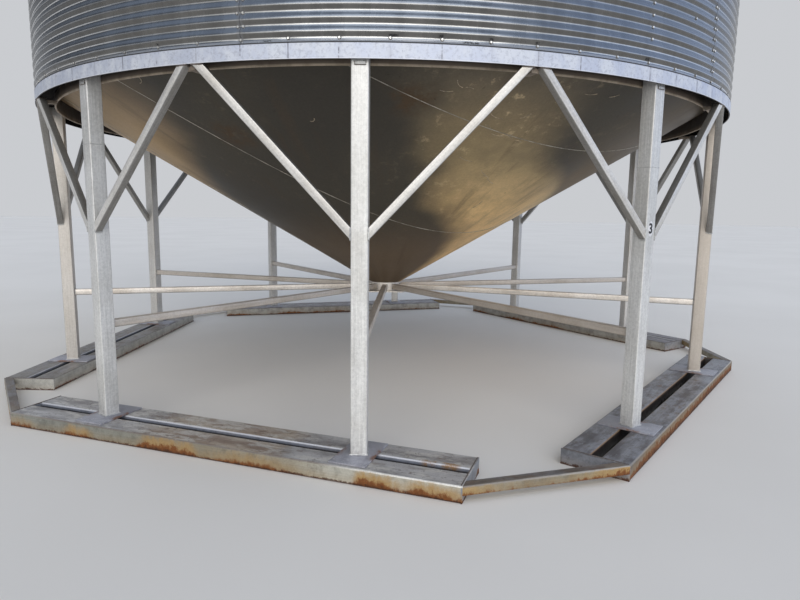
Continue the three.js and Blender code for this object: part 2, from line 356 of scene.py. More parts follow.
def band_paint():
    """Bluish light paint on the ring beam: cloudy, with marks below the wall's bolts and chips, a painted
    shadow along its top and a painted highlight and shade along its lower edge.
    """
    f = Finish("band_paint", 0.5)
    azimuth, _, bearing = f.polar()
    z = f.parts(f.place)[2]
    clouds = f.noise(f.wrapped(azimuth, 30, f.times(z, 6)), 1, 5, 0.6)
    mottle = f.noise(f.place, 55, 5, 0.75)
    step = f.math("DIVIDE", f.minus(bearing, FIRST_BOLT), BOLT_STEP)
    bolt = f.math("ROUND", step)
    nearest = f.math("ABSOLUTE", f.minus(step, bolt))
    chance = f.noise(f.joined(bolt, 0.5, 0.5), 3.3, 0, 0)
    broken = f.noise(f.joined(f.times(step, 2), f.times(z, 30), 0.5), 1, 2)
    line = f.times(f.ramp(nearest, 0.018, 0.006), f.ramp(chance, 0.42, 0.55, 0.1, 0.9),
                   f.ramp(broken, 0.35, 0.55))
    colour = f.layers(
        f.blend(f.ramp(clouds, 0.35, 0.65), (0.54, 0.575, 0.67), (0.66, 0.685, 0.74)),
        (f.ramp(mottle, 0.48, 0.64, 0, 0.55), (0.38, 0.4, 0.47)),
        (f.times(f.ramp(nearest, 0.1, 0.0, 0, 0.4), f.ramp(clouds, 0.4, 0.6)), (0.4, 0.42, 0.5)),
        (line, (0.2, 0.2, 0.24)),
        (f.ramp(f.noise(f.place, 24, 7, 0.8), 0.72, 0.735, 0, 0.9), (0.07, 0.07, 0.09)),
        # Painted shadow along the top, under the wall's foot.
        (f.ramp(z, RING_TOP - 0.0045, RING_TOP - 0.0015, 0, 0.9), (0.05, 0.055, 0.07)),
        # Painted highlight on the rounded lower edge, with painted shade at the very bottom.
        (f.ramp(z, RING_BOTTOM + 0.006, RING_BOTTOM + 0.003, 0, 0.6), (0.8, 0.81, 0.84)),
        (f.ramp(z, RING_BOTTOM + 0.0012, RING_BOTTOM + 0.0004), (0.08, 0.075, 0.075)))
    return f.done(colour, f.ramp(clouds, 0.3, 0.7, 0.55, 0.7), f.plus(mottle, clouds), 0.25, 0.0008)


# The tubes near the ground. Their marks follow each tube's own frame: along it, out from the
# silo's axis, and up. Lists give a place along the tube with a colour, a share or a height.

HALO = (0.42, 0.265, 0.1)
RUST = (0.27, 0.1, 0.03)
DEEP_RUST = tuple(part * 0.6 for part in RUST)
DARK_RUST = (0.07, 0.028, 0.014)
REACH_SCALE = 10


def weathered_tube(name, half, outer, inner, look):
    """Dull silver paint with a dirty top and rust that climbs from the lower edges, painted shade in the slot
    and painted highlights along the top edges.
    """
    f = Finish(name, 0.3)
    own = f.kept("local")
    along, backward, z = f.parts(own)
    radius = f.times(backward, -1)
    middle = (outer + inner) / 2
    blotch = f.noise(own, (3, 9, 9), 6, 0.62)
    patches = f.noise(own, 13, 6, 0.7)
    grain = f.noise(own, 130, 5, 0.75)
    fray = f.noise(own, (26, 26, 17), 8, 0.74)
    drawn = f.noise(own, (2.5, 160, 160), 4, 0.65)

    def follow(pairs):
        return f.stops(along, -half, half, pairs)

    def spots(scale, detail, rough, start, stop, high=1.0):
        return f.ramp(f.noise(own, scale, detail, rough), start, stop, 0, high)

    top = f.ramp(z, SKID_HEIGHT - 0.006, SKID_HEIGHT - 0.001)
    off_top = f.minus(1.0, top)
    front = f.ramp(radius, outer - 0.008, outer - 0.002)
    end = f.ramp(f.math("ABSOLUTE", along), half - 0.009, half - 0.007)
    slot = f.times(f.window(radius, middle, look["slot"], 0.005), f.minus(1.0, end))
    # The slot's walls get a painted shade colour.
    sides = f.layers(follow(look["face"]), (end, look["end"]), (slot, look["slot_wall_shade"]))
    walls = f.shade(f.blend(f.ramp(patches, 0.4, 0.66), sides, f.shade(sides, look["dirt"])),
                    f.ramp(drawn, 0.3, 0.7, 0.92, 1.08))
    plum, brown = (f.blend(f.ramp(blotch, 0.36, 0.62), look[tint + "_dark"], look[tint + "_light"])
                   for tint in ("top", "tan"))
    tops = f.layers(
        plum, (f.ramp(f.plus(patches, follow(look["tan"])), 0.6, 1.2), brown),
        (spots((6, 15, 15), 6, 0.7, 0.47, 0.6, 0.7), look["dust"]),
        (spots((5.6, 14, 14), 7, 0.74, 0.55, 0.66, 0.7), (0.15, 0.095, 0.065)),
        (spots(40, 7, 0.78, 0.56, 0.66, 0.8), (0.085, 0.06, 0.045)))

    climb = follow([(place, reach * REACH_SCALE) for place, reach in look["reach"]])
    other = f.ramp(f.noise(own, (2.2, 0.1, 0.1), 2), 0.42, 0.66, 0.05, look["other_reach"] * REACH_SCALE)
    at_end = f.ramp(blotch, 0.4, 0.62, 0.05, look["end_reach"] * REACH_SCALE)
    reach = f.times(f.layers(other, (front, climb), (end, at_end)), 1 / REACH_SCALE)
    depth = f.minus(f.times(reach, f.ramp(fray, 0.3, 0.7, 0.62, 1.3)), z)
    glow = f.times(f.plus(f.times(follow(look["halo"]), front, 0.85), 0.15),
                   f.ramp(depth, -0.055, -0.003), off_top, f.ramp(patches, 0.25, 0.5, 0.55, 1))
    orange = f.times(f.ramp(depth, -0.004, 0.022), off_top)
    ragged = f.minus(z, f.times(spots(45, 6, 0.8, 0.35, 0.65), 0.02))
    rot = f.times(f.most(f.ramp(depth, 0.024, 0.055), f.ramp(ragged, 0.006, -0.003, 0, 0.95)), off_top,
                  f.ramp(grain, 0.3, 0.5, 0.75, 1))
    specks = f.times(spots(52, 7, 0.8, 0.62, 0.68), f.ramp(blotch, 0.4, 0.6, 0.25, 0.9), off_top)
    spilt = f.times(f.window(along, look["slot_rust"], 0.07, 0.05),
                    f.window(radius, middle - 0.036, 0.012, 0.012), f.ramp(patches, 0.38, 0.55), 0.85)
    rim = f.times(f.window(z, SKID_HEIGHT, 0.006, 0.004), f.window(radius, outer, 0.006, 0.004),
                  f.ramp(patches, 0.3, 0.5, 0.45, 0.95))
    colour = f.layers(
        f.blend(top, walls, f.shade(tops, f.ramp(drawn, 0.3, 0.7, 0.88, 1.12))),
        # A painted highlight along the outer top edge where the rim share is high, a dark worn edge where it
        # is low.
        (rim, f.blend(follow(look["rim"]), (0.14, 0.11, 0.085), (0.88, 0.86, 0.8))),
        # A painted highlight along the top of the slot's wall; on some tubes this edge is rusty instead.
        (f.times(slot, f.window(z, SKID_HEIGHT - 0.003, 0.005, 0.003), 0.8), look["slot_edge_highlight_and_rust"]),
        (glow, HALO), (orange, f.blend(f.ramp(grain, 0.35, 0.65), RUST, DEEP_RUST)),
        (rot, DARK_RUST), (specks, (0.15, 0.065, 0.03)), (spilt, (0.36, 0.19, 0.06)),
        # Painted shade, darkening down the slot.
        (f.times(slot, f.ramp(z, SKID_HEIGHT - 0.016, SKID_HEIGHT - 0.032)), (0.022, 0.018, 0.016)))
    roughness = f.plus(f.ramp(orange, 0, 1, 0.44, 0.85), f.ramp(patches, 0.3, 0.7, -0.06, 0.1))
    height = f.plus(f.times(grain, f.ramp(orange, 0, 1, 0.3, 1)), patches)
    return f.done(f.shade(colour, f.ramp(grain, 0.2, 0.8, 0.86, 1.14)), roughness, height, 0.35, 0.0012)


def foot_paint():
    """Foot plates: purple-grey paint that peels to light specks, rusty at the slot's edge."""
    f = Finish("foot_plate_paint", 0.3)
    own = f.kept("local")
    x, y, _ = f.parts(own)
    patches = f.noise(own, 18, 6, 0.7)
    grain = f.noise(own, 140, 4, 0.7)
    peeled = f.times(f.ramp(f.noise(own, 60, 6, 0.8), 0.56, 0.62), f.ramp(f.times(y, -1), 0.06, 0.13), 0.8)
    over_slot = f.times(f.ramp(f.math("ABSOLUTE", x), 0.07, 0.1), f.ramp(f.math("ABSOLUTE", y), 0.1, 0.06),
                        f.ramp(patches, 0.4, 0.58), 0.85)
    colour = f.layers(f.blend(f.ramp(patches, 0.35, 0.65), (0.3, 0.3, 0.34), (0.42, 0.42, 0.46)),
                      (peeled, (0.7, 0.69, 0.66)), (over_slot, (0.2, 0.085, 0.035)))
    return f.done(f.shade(colour, f.ramp(grain, 0.2, 0.8, 0.88, 1.12)),
                  f.ramp(patches, 0.3, 0.7, 0.4, 0.65), f.plus(grain, patches), 0.3, 0.0008)


# The cone's golden zone, a pool of warm light painted on the cone, by radius: its drift in azimuth, as a
# share, and its colour. Then its brown stains by azimuth and radius.

PAINTED_GLOW_RADII = (0.2, 2.6)
PAINTED_GLOW_DRIFT = [(0.2, 1.0), (0.75, 0.82), (1.05, 0.625), (1.35, 0.357), (1.65, 0.214), (1.95, 0.07), (2.6, 0.0)]
PAINTED_GLOW = [(0.2, (0.6, 0.42, 0.22)), (0.75, (1.0, 0.68, 0.33)), (1.35, (0.92, 0.64, 0.3)),
        (1.65, (0.72, 0.52, 0.26)), (1.95, (0.42, 0.32, 0.17)), (2.25, (0.36, 0.275, 0.155)),
        (2.6, (0.2, 0.165, 0.115))]
STAINS = ((5.2, 2.4), (-24.6, 2.14), (-104, 2.2), (131, 1.9))


def hopper_steel():
    """Weathered cone plate: dark grey-brown, tan zones and a golden zone of painted light, stains that run
    towards the outlet.
    """
    f = Finish("hopper_steel", 0.25, gloss=0.3)
    azimuth, radius, bearing = f.polar()
    streaks = f.noise(f.wrapped(azimuth, 9, f.times(radius, 0.7)), 1.6, 6, 0.65)
    clouds = f.noise(f.place, 1.1, 4, 0.55)
    blotch = f.noise(f.place, 4.5, 6, 0.62)
    grain = f.noise(f.place, 70, 5, 0.7)
    around = f.plus(bearing, f.ramp(clouds, 0.2, 0.8, -3.5, 3.5))
    centre = f.plus(f.times(f.stops(radius, *PAINTED_GLOW_RADII, PAINTED_GLOW_DRIFT), 56), 19)
    aside = f.math("DIVIDE", f.minus(around, centre), f.ramp(radius, 1.9, 1.3, 1, 1.45))
    over = f.times(f.ramp(aside, 0, 24), f.ramp(radius, 2.2, 1.5), 17)
    # The golden zone: a painted pool of warm light that curves in azimuth with radius.
    painted_glow = f.window(f.minus(aside, over), 0, 3, 16)
    past = f.minus(around, f.ramp(radius, 1.5, 2.2, -80, -58))
    # Tan zones at the flanks and behind: painted warm light.
    left = f.times(f.window(past, -3, 9, 21), f.ramp(radius, 1.2, 1.8), f.ramp(radius, 2.15, 2.6, 1, 0.72))
    right = f.times(f.window(around, 78, 16, 20), f.ramp(radius, 1.5, 2.4, 0.3, 0.16))
    behind = f.times(f.window(around, 150, 20, 30), 0.4)
    stains = [f.times(f.window(around, place, 1.4, 2.6), f.window(radius, away, 0.03, 0.13))
              for place, away in STAINS]
    stain = f.times(f.most(*stains), f.ramp(f.noise(f.place, 14, 5, 0.7), 0.38, 0.58, 0.2, 0.75))
    # Light scratches, more of them inside the painted pool of light.
    flecks = f.times(f.ramp(f.noise(f.place, 9, 7, 0.75), 0.56, 0.66), f.ramp(clouds, 0.42, 0.6, 0.1, 0.6),
                     f.plus(f.times(painted_glow, 0.8), 0.07))
    colour = f.layers(
        f.blend(f.ramp(clouds, 0.3, 0.7), (0.062, 0.055, 0.044), (0.088, 0.077, 0.058)),
        (f.ramp(radius, 1.4, 0.6, 0, 0.9), (0.165, 0.118, 0.075)),
        # Painted warm light: the tan zones, then the golden zone.
        (f.times(f.most(left, right, behind), 0.95), (0.5, 0.335, 0.165)),
        (f.times(painted_glow, f.ramp(blotch, 0.36, 0.62, 0.78, 1)), f.stops(radius, *PAINTED_GLOW_RADII, PAINTED_GLOW)),
        (f.ramp(streaks, 0.52, 0.7, 0, 0.35), (0.09, 0.062, 0.038)),
        (stain, (0.1, 0.058, 0.028)), (flecks, (0.85, 0.66, 0.4)),
        (f.ramp(f.noise(f.place, 11, 7, 0.78), 0.66, 0.7, 0, 0.6), (0.035, 0.025, 0.018)))
    return f.done(f.shade(colour, f.ramp(grain, 0.25, 0.75, 0.9, 1.1)), f.ramp(clouds, 0.3, 0.7, 0.45, 0.6),
                  f.plus(f.times(grain, 0.04), clouds), 0.3, 0.012)


def skirt_steel():
    """The skirt's brown paint, darkened upward from its lower edge as painted shadow under the ring, with a
    pale worn bead along its lower edge.
    """
    f = Finish("skirt_steel", 0.3)
    z = f.parts(f.place)[2]
    streaks = f.noise(f.wrapped(f.polar()[0], 22, f.times(z, 5)), 1, 5, 0.65)
    colour = f.layers(
        # Darker above the lower edge: painted shadow under the ring beam.
        (0.2, 0.155, 0.115), (f.ramp(z, SKIRT_BOTTOM + 0.008, SKIRT_BOTTOM + 0.05), (0.035, 0.027, 0.021)),
        (f.ramp(streaks, 0.45, 0.68, 0, 0.55), (0.1, 0.07, 0.05)),
        (f.ramp(z, SKIRT_BOTTOM + 0.013, SKIRT_BOTTOM + 0.009),
         f.blend(f.ramp(streaks, 0.4, 0.6), (0.47, 0.38, 0.28), (0.33, 0.265, 0.19))))
    return f.done(colour, f.ramp(streaks, 0.3, 0.7, 0.4, 0.6), streaks, 0.2, 0.001)


# Galvanised sheet. Its smudges are dark marks near the bottom bolts: azimuth, height, half width
# in radians, half height.

HIGHLIGHT_TILT = 0.09
# The colour of the painted highlight on the flat parts of the crests and valleys.
CREST_HIGHLIGHT = (0.78, 0.78, 0.77)
SMUDGES = ((3.3, 2.266, 0.006, 0.003), (7.9, 2.268, 0.002, 0.005), (10.9, 2.244, 0.012, 0.003),
           (13.0, 2.266, 0.0015, 0.004), (17.9, 2.267, 0.0015, 0.004), (32.6, 2.27, 0.006, 0.006),
           (-9.2, 2.243, 0.006, 0.001), (-22.0, 2.266, 0.001, 0.004))


def galvanised():
    """Galvanised sheet with painted reflections: blue-grey where it slopes up, browner where down, a painted
    highlight on the crests.

    To the left the crests get a brighter painted highlight and the slopes a painted shade.
    """
    f = Finish("wall_galvanised")
    azimuth, radius, bearing = f.polar()
    z = f.parts(f.place)[2]
    up = f.parts(f.facing)[2]
    streaks = f.noise(f.wrapped(azimuth, 26, f.times(z, 1.2)), 1, 5, 0.6)
    dull = f.noise(f.wrapped(azimuth, 5, f.times(z, 2.5)), 1, 4, 0.55)
    spangle = f.cells(f.place, 110)
    # Painted highlight: the flat parts of crests and valleys, which face the bright horizon, are brightened
    # as shine.
    flat = f.ramp(f.math("ABSOLUTE", f.plus(up, HIGHLIGHT_TILT)), 0.19, 0.03)
    crest = f.ramp(radius, WALL_RADIUS - 0.003, WALL_RADIUS - 0.009, 0.55, 1)
    shine = f.times(flat, crest, f.ramp(z, LOW_VALLEY + 0.015, LOW_VALLEY + 0.2, 1, 0.62),
                    f.ramp(dull, 0.35, 0.65, 0.55, 0.95))
    # The left side: a brighter painted highlight on the crests, a painted shade on the slopes, and a lighter
    # strip above the lowest valley.
    left_zone = f.window(bearing, -75, 30, 27)
    left_crest_highlight = f.times(f.ramp(flat, 0, 0.7), crest, left_zone)
    f.feed(f.shader.inputs["Metallic"], f.ramp(left_crest_highlight, 0, 1, 0.85, 0.2))
    # Painted reflections: the sky's blue-grey on slopes that face up, the ground's brown on slopes that face
    # down.
    slopes = f.blend(f.ramp(up, -0.3, 0.12), (0.176, 0.169, 0.157), (0.18, 0.205, 0.243))
    # Streaks and spangle vary the tone; on the left side it also carries a painted shade.
    tone = f.times(f.ramp(streaks, 0.3, 0.7, 0.86, 1.12), f.ramp(spangle, 0, 1, 0.97, 1.03),
                   f.ramp(left_zone, 0, 1, 1, 0.68))
    tier = f.math("FLOOR", f.math("DIVIDE", f.minus(z, WALL_BOTTOM), TIER_HEIGHT))
    share = f.math("DIVIDE", f.minus(bearing, FIRST_BOLT, f.times(tier, SHEET_SPAN / 2)), SHEET_SPAN)
    from_seam = f.times(f.math("ABSOLUTE", f.minus(share, f.math("ROUND", share))), SHEET_SPAN)
    smudges = [f.times(f.window(azimuth, radians(place), width, 0.004), f.window(z, height, tall, 0.005))
               for place, height, width, tall in SMUDGES]
    smudge = f.times(f.most(*smudges), f.ramp(f.noise(f.place, 130, 5, 0.7), 0.42, 0.52), 0.9)
    colour = f.layers(
        f.shade(f.blend(shine, slopes, CREST_HIGHLIGHT), tone),
        (f.ramp(z, LOW_VALLEY - 0.002, LOW_VALLEY - 0.01, 0, 0.8), (0.42, 0.42, 0.43)),
        (f.times(left_crest_highlight, 0.75), CREST_HIGHLIGHT),
        (f.times(f.ramp(z, LOW_VALLEY + 0.014, LOW_VALLEY + 0.002, 0, 0.6), left_zone), (0.42, 0.4, 0.37)),
        (f.ramp(from_seam, 0.4, 0.25, 0, 0.4), (0.24, 0.24, 0.245)),
        (f.ramp(from_seam, 0.07, 0.04, 0, 0.5), (0.06, 0.06, 0.062)), (smudge, (0.03, 0.03, 0.03)))
    return f.done(colour, f.ramp(streaks, 0.3, 0.7, 0.2, 0.32), spangle, 0.025, 0.0004)


def roof_galvanised():
    """Galvanised roof sheet with spangle, run-off streaks and light weathering."""
    f = Finish("roof_galvanised", 0.8)
    azimuth, radius, _ = f.polar()
    streaks = f.noise(f.wrapped(azimuth, 30, f.times(radius, 0.8)), 1, 5, 0.6)
    clouds = f.ramp(f.noise(f.place, 1.4, 4, 0.55), 0.35, 0.65)
    spangle = f.cells(f.place, 80)
    colour = f.layers((0.4, 0.43, 0.46), (clouds, (0.52, 0.55, 0.58)),
                      (f.ramp(streaks, 0.55, 0.72, 0, 0.45), (0.3, 0.28, 0.25)))
    return f.done(f.shade(colour, f.ramp(spangle, 0, 1, 0.94, 1.06)),
                  f.ramp(streaks, 0.3, 0.7, 0.3, 0.45), spangle, 0.1, 0.0004)


def speckled(name, base, other, scale, roughness, metallic, gloss=0.5):
    """A small part's finish: two tones in patches with a fine grain."""
    f = Finish(name, metallic, gloss=gloss)
    grain = f.noise(f.place, scale * 6, 3, 0.7)
    colour = f.blend(f.ramp(f.noise(f.place, scale, 5, 0.65), 0.35, 0.65), base, other)
    return f.done(f.shade(colour, f.ramp(grain, 0.2, 0.8, 0.9, 1.1)), roughness, grain, 0.3, 0.0005)


# How the tubes have weathered, with painted shade in the slots and painted highlights on the edges: a plain
# look, then what differs from it on those that show

PLAIN_LOOK = {
    "face": [(-1.5, (0.4, 0.39, 0.36)), (0.0, (0.34, 0.32, 0.29)), (1.5, (0.42, 0.41, 0.38))],
    "end": (0.33, 0.33, 0.34), "dirt": 0.66, "slot": 0.033, "slot_rust": 9.0,
    "slot_wall_shade": (0.3, 0.32, 0.38), "slot_edge_highlight_and_rust": (0.72, 0.73, 0.77), "dust": (0.27, 0.265, 0.275),
    "top_dark": (0.13, 0.118, 0.125), "top_light": (0.22, 0.21, 0.225),
    "tan_dark": (0.15, 0.115, 0.09), "tan_light": (0.26, 0.21, 0.16),
    "tan": [(-1.5, 0.1), (-0.5, 0.3), (0.5, 0.25), (1.5, 0.1)],
    "rim": [(-1.5, 0.2), (1.5, 0.4)],
    "reach": [(-1.5, 0.02), (-0.9, 0.045), (-0.4, 0.02), (0.2, 0.05), (0.8, 0.025), (1.5, 0.04)],
    "halo": [(-1.5, 0.2), (-0.9, 0.5), (-0.4, 0.1), (0.2, 0.5), (1.5, 0.2)],
    "other_reach": 0.04, "end_reach": 0.025,
}

FRONT_LOOK = PLAIN_LOOK | {
    "face": [(-1.5, (0.27, 0.275, 0.245)), (-0.5, (0.26, 0.255, 0.215)), (0.0, (0.28, 0.245, 0.18)),
             (0.55, (0.33, 0.295, 0.225)), (0.8, (0.48, 0.465, 0.4)), (1.5, (0.5, 0.47, 0.39))],
    "end": (0.3, 0.32, 0.36), "dirt": 0.7, "slot_rust": 1.33, "dust": (0.64, 0.62, 0.58),
    "top_dark": (0.25, 0.24, 0.24), "top_light": (0.5, 0.49, 0.49),
    "tan_dark": (0.27, 0.2, 0.155), "tan_light": (0.48, 0.41, 0.33),
    "tan": [(-1.5, 0.0), (-0.6, 0.2), (-0.3, 0.75), (0.35, 0.8), (0.55, 0.1), (1.5, 0.0)],
    "rim": [(-1.5, 0.25), (-1.0, 0.1), (0.7, 0.12), (0.95, 0.85), (1.5, 1.0)],
    "reach": [(-1.5, 0.035), (-1.38, 0.04), (-1.28, 0.014), (-1.08, 0.02), (-1.0, 0.04), (-0.88, 0.036),
              (-0.8, 0.014), (-0.5, 0.018), (-0.42, 0.055), (-0.3, 0.06), (-0.1, 0.05), (-0.04, 0.016),
              (0.06, 0.022), (0.2, 0.042), (0.42, 0.036), (0.62, 0.016), (0.9, 0.01), (0.95, 0.05),
              (1.1, 0.05), (1.19, 0.022), (1.26, 0.05), (1.42, 0.045), (1.5, 0.03)],
    "halo": [(-1.5, 0.3), (-1.36, 0.4), (-1.25, 0.05), (-1.06, 0.1), (-0.98, 0.85), (-0.88, 0.8),
             (-0.8, 0.1), (-0.46, 0.15), (-0.4, 0.8), (-0.08, 0.7), (-0.03, 0.1), (0.1, 0.3), (0.3, 0.55),
             (0.6, 0.15), (0.91, 0.05), (0.95, 0.95), (1.12, 0.9), (1.2, 0.35), (1.28, 0.9), (1.45, 0.8),
             (1.5, 0.6)],
    "end_reach": 0.05,
}

RIGHT_LOOK = PLAIN_LOOK | {
    "face": [(-1.5, (0.14, 0.125, 0.105)), (-0.8, (0.1, 0.082, 0.066)), (1.5, (0.09, 0.074, 0.06))],
    "end": (0.27, 0.28, 0.31), "dirt": 0.6, "slot_wall_shade": (0.05, 0.035, 0.03), "slot_edge_highlight_and_rust": (0.3, 0.19, 0.1),
    "top_dark": (0.095, 0.09, 0.1), "top_light": (0.27, 0.275, 0.3), "dust": (0.3, 0.31, 0.34),
    "reach": [(-1.5, 0.04), (-1.3, 0.06), (-0.9, 0.07), (-0.3, 0.065), (0.4, 0.075), (1.5, 0.065)],
    "halo": [(-1.5, 0.3), (-0.6, 0.4), (1.5, 0.3)],
    "end_reach": 0.016,
}

CLEAN_LOOK = PLAIN_LOOK | {
    "face": [(-1.5, (0.42, 0.41, 0.38)), (1.5, (0.46, 0.45, 0.41))],
    "end": (0.5, 0.49, 0.45), "dirt": 0.75,
    "top_dark": (0.17, 0.155, 0.14), "top_light": (0.26, 0.245, 0.225),
    "end_reach": 0.006, "other_reach": 0.03,
}

# The ties' marks, followed to a little beyond their ends

TIE_SPAN = 0.6
TIE_LOOK = PLAIN_LOOK | {
    "face": [(-0.48, (0.45, 0.34, 0.18)), (-0.3, (0.36, 0.32, 0.24)), (-0.1, (0.26, 0.24, 0.19)),
             (0.2, (0.3, 0.27, 0.2)), (0.48, (0.48, 0.32, 0.14))],
    "top_dark": (0.075, 0.066, 0.06), "top_light": (0.13, 0.12, 0.115), "dust": (0.2, 0.195, 0.2),
    "dirt": 0.7, "slot": -0.01,
    "tan": [(-0.48, 0.3), (0.48, 0.5)],
    "rim": [(-0.48, 0.15), (0.48, 0.4)],
    "reach": [(-0.48, 0.066), (-0.3, 0.052), (0.1, 0.052), (0.48, 0.08)],
    "halo": [(-0.48, 0.7), (-0.25, 0.2), (0.1, 0.2), (0.3, 0.6), (0.48, 0.9)],
}


# How far the spokes and the legs are tinted brown as painted shade: azimuth and share

SPOKE_SHADE_TINT = [(-180, 0.45), (-100, 0.4), (-84, 0.0), (-56, 0.0), (-46, 0.35), (-20, 0.35), (0, 0.2),
              (20, 0.6), (52, 0.6), (60, 0.05), (84, 0.05), (96, 0.45), (180, 0.45)]
LEG_SHADE_TINT = [(-180, 0.2), (-100, 0.2), (-84, 0.4), (-60, 0.4), (-50, 0.0), (52, 0.0), (60, 0.65), (84, 0.65),
            (96, 0.2), (180, 0.2)]

SILVER = silver_paint("leg_silver", (0.71, 0.705, 0.685), (0.62, 0.61, 0.58), metallic=0.42,
                      shade_tint_by_azimuth=LEG_SHADE_TINT, low=1.06)
# The braces get a painted shade on faces that look up or inward.
BRACE_SILVER = silver_paint("brace_silver", (0.72, 0.7, 0.665), (0.61, 0.58, 0.53), top=0.3, inner=0.5)
SPOKE_SILVER = silver_paint("spoke_silver", (0.86, 0.81, 0.75), (0.66, 0.6, 0.53), shade_tint_by_azimuth=SPOKE_SHADE_TINT)
PLATE_SILVER = silver_paint("plate_silver", (0.88, 0.84, 0.79), (0.72, 0.67, 0.61), along_bar=False)
BAND = band_paint()
# The ring's hollow is coloured near black, as painted shade.
HOLLOW_SHADE = speckled("ring_hollow_shade", (0.008, 0.007, 0.006), (0.016, 0.013, 0.011), 20, 0.9, 0.0, gloss=0.1)
# The strut's brown stands for the shade it hangs in: painted shade.
SHADED_STRUT = speckled("strut_painted_shade", (0.3, 0.25, 0.2), (0.22, 0.18, 0.14), 30, 0.6, 0.3)
SEALANT = speckled("joint_sealant", (0.02, 0.02, 0.022), (0.035, 0.035, 0.037), 60, 0.7, 0.0)
SKIDS = [weathered_tube(f"skid_{number}_paint", SKID_HALF_LENGTH, SKID_OUTER, SKID_INNER, look)
         for number, look in enumerate((FRONT_LOOK, RIGHT_LOOK, PLAIN_LOOK, PLAIN_LOOK, CLEAN_LOOK), 1)]
TIE = weathered_tube("corner_tie_paint", TIE_SPAN, TIE_OUTER, TIE_OUTER - TIE_WIDTH, TIE_LOOK)
FOOT = foot_paint()
CONE = hopper_steel()
SKIRT = skirt_steel()
WALL = galvanised()
ROOF = roof_galvanised()
BOLT = speckled("zinc_bolt", (0.86, 0.86, 0.84), (0.6, 0.59, 0.57), 90, 0.28, 0.9)
WASHER = speckled("bolt_washer", (0.1, 0.1, 0.105), (0.2, 0.2, 0.2), 120, 0.5, 0.4)
WELD = speckled("painted_weld", (0.4, 0.4, 0.4), (0.62, 0.62, 0.6), 60, 0.5, 0.5)
DARK_WELD = speckled("bare_weld", (0.09, 0.075, 0.065), (0.2, 0.17, 0.15), 70, 0.6, 0.4)
SEAM = speckled("cone_weld", (0.55, 0.51, 0.43), (0.22, 0.2, 0.16), 9, 0.45, 0.4)
SCUFF = speckled("cone_scuff", (0.62, 0.5, 0.34), (0.24, 0.205, 0.155), 22, 0.55, 0.2)
LABEL = speckled("label_white", (0.72, 0.72, 0.74), (0.62, 0.62, 0.64), 40, 0.45, 0.0)
FIGURE = speckled("label_black", (0.012, 0.012, 0.012), (0.03, 0.03, 0.03), 60, 0.5, 0.0)


# Mesh building

BEAD_SIDES = 6
WELD_STEP = 0.007
FINE_CORNER = 0.004
SMALL_CORNER = 0.006
TUBE_CORNER = 0.011


def piece(name, mesh, materials, replaces=None, sharp=40, matrix=None):
    """Puts a mesh in the scene as a piece that rides on the silo, and keeps its own coordinates."""
    own = mesh.verts.layers.float_vector.new("local")
    for vert in mesh.verts:
        vert[own] = vert.co
    if matrix is not None:
        bmesh.ops.transform(mesh, matrix=matrix, verts=mesh.verts)
    bmesh.ops.recalc_face_normals(mesh, faces=mesh.faces)
    data = bpy.data.meshes.new(name)
    mesh.to_mesh(data)
    mesh.free()
    piece_from_data(name, data, materials, replaces, sharp)


def piece_from_data(name, data, materials, replaces=None, sharp=40):
    data.polygons.foreach_set("use_smooth", [True] * len(data.polygons))
    data.set_sharp_from_angle(angle=radians(sharp))
    for material in materials:
        data.materials.append(material)
    made = placed(name, data)
    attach(made, "root")
    if replaces:
        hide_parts(replaces)


def circle(count, side, over, start=0.0):
    """Directions in the plane of side and over, evenly spread from the start angle."""
    angles = [2 * pi * i / count + start for i in range(count)]
    return [side * cos(angle) + over * sin(angle) for angle in angles]


def rounded(width, height, radius, steps=3):
    """A rectangle with round corners, anticlockwise, centred on the origin."""
    loop = []
    for quarter, (sx, sy) in enumerate(((1, 1), (-1, 1), (-1, -1), (1, -1))):
        centre = Vector((sx * (width / 2 - radius), sy * (height / 2 - radius)))
        for step in range(steps + 1):
            angle = pi / 2 * (quarter + step / steps)
            loop.append(centre + radius * Vector((cos(angle), sin(angle))))
    return loop


def weave(mesh, rows, looped=False, tones=None, material=0):
    """Joins rows of vertices, each closed, by quads. Looped also joins the last row to the first.

    Tones give a material for the quads above each row.
    """
    count = len(rows[0])
    for level, (lower, upper) in enumerate(zip(rows, rows[1:] + rows[:1] if looped else rows[1:])):
        for i in range(count):
            j = (i + 1) % count
            face = mesh.faces.new((lower[i], lower[j], upper[j], upper[i]))
            face.material_index = tones[level] if tones else material


def skin(mesh, rings, looped=False, material=0):
    """Joins rings of points into a surface that is looped or has a cap on each end ring."""
    rows = [[mesh.verts.new(point) for point in ring] for ring in rings]
    weave(mesh, rows, looped, material=material)
    if not looped:
        for cap in (rows[0][::-1], rows[-1]):
            mesh.faces.new(cap).material_index = material
    return rows


def bar(mesh, start, end, side, loop, cut_start=None, cut_end=None, material=0):
    """A bar of this section from start to end, its section's x along side.

    A cut is a plane as (point, normal) that ends the bar there; without one it ends square.
    The vertices keep their place in the bar's own frame, for the streaks of its finish.
    """
    layers = mesh.verts.layers.float_vector
    grain = layers.get("grain") or layers.new("grain")
    along = (end - start).normalized()
    over = along.cross(side).normalized()
    ends = []
    for stop, cut in ((start, cut_start), (end, cut_end)):
        at, normal = cut if cut else (stop, along)
        ring = []
        for corner in loop:
            through = start + side * corner.x + over * corner.y
            travel = (at - through).dot(normal) / along.dot(normal)
            ring.append(through + along * travel)
        ends.append(ring)
    shift = 3 * len(mesh.verts)
    for row in skin(mesh, ends, material=material):
        for vert, corner in zip(row, loop):
            vert[grain] = (corner.x + shift, corner.y, (vert.co - start).dot(along))
    return ends


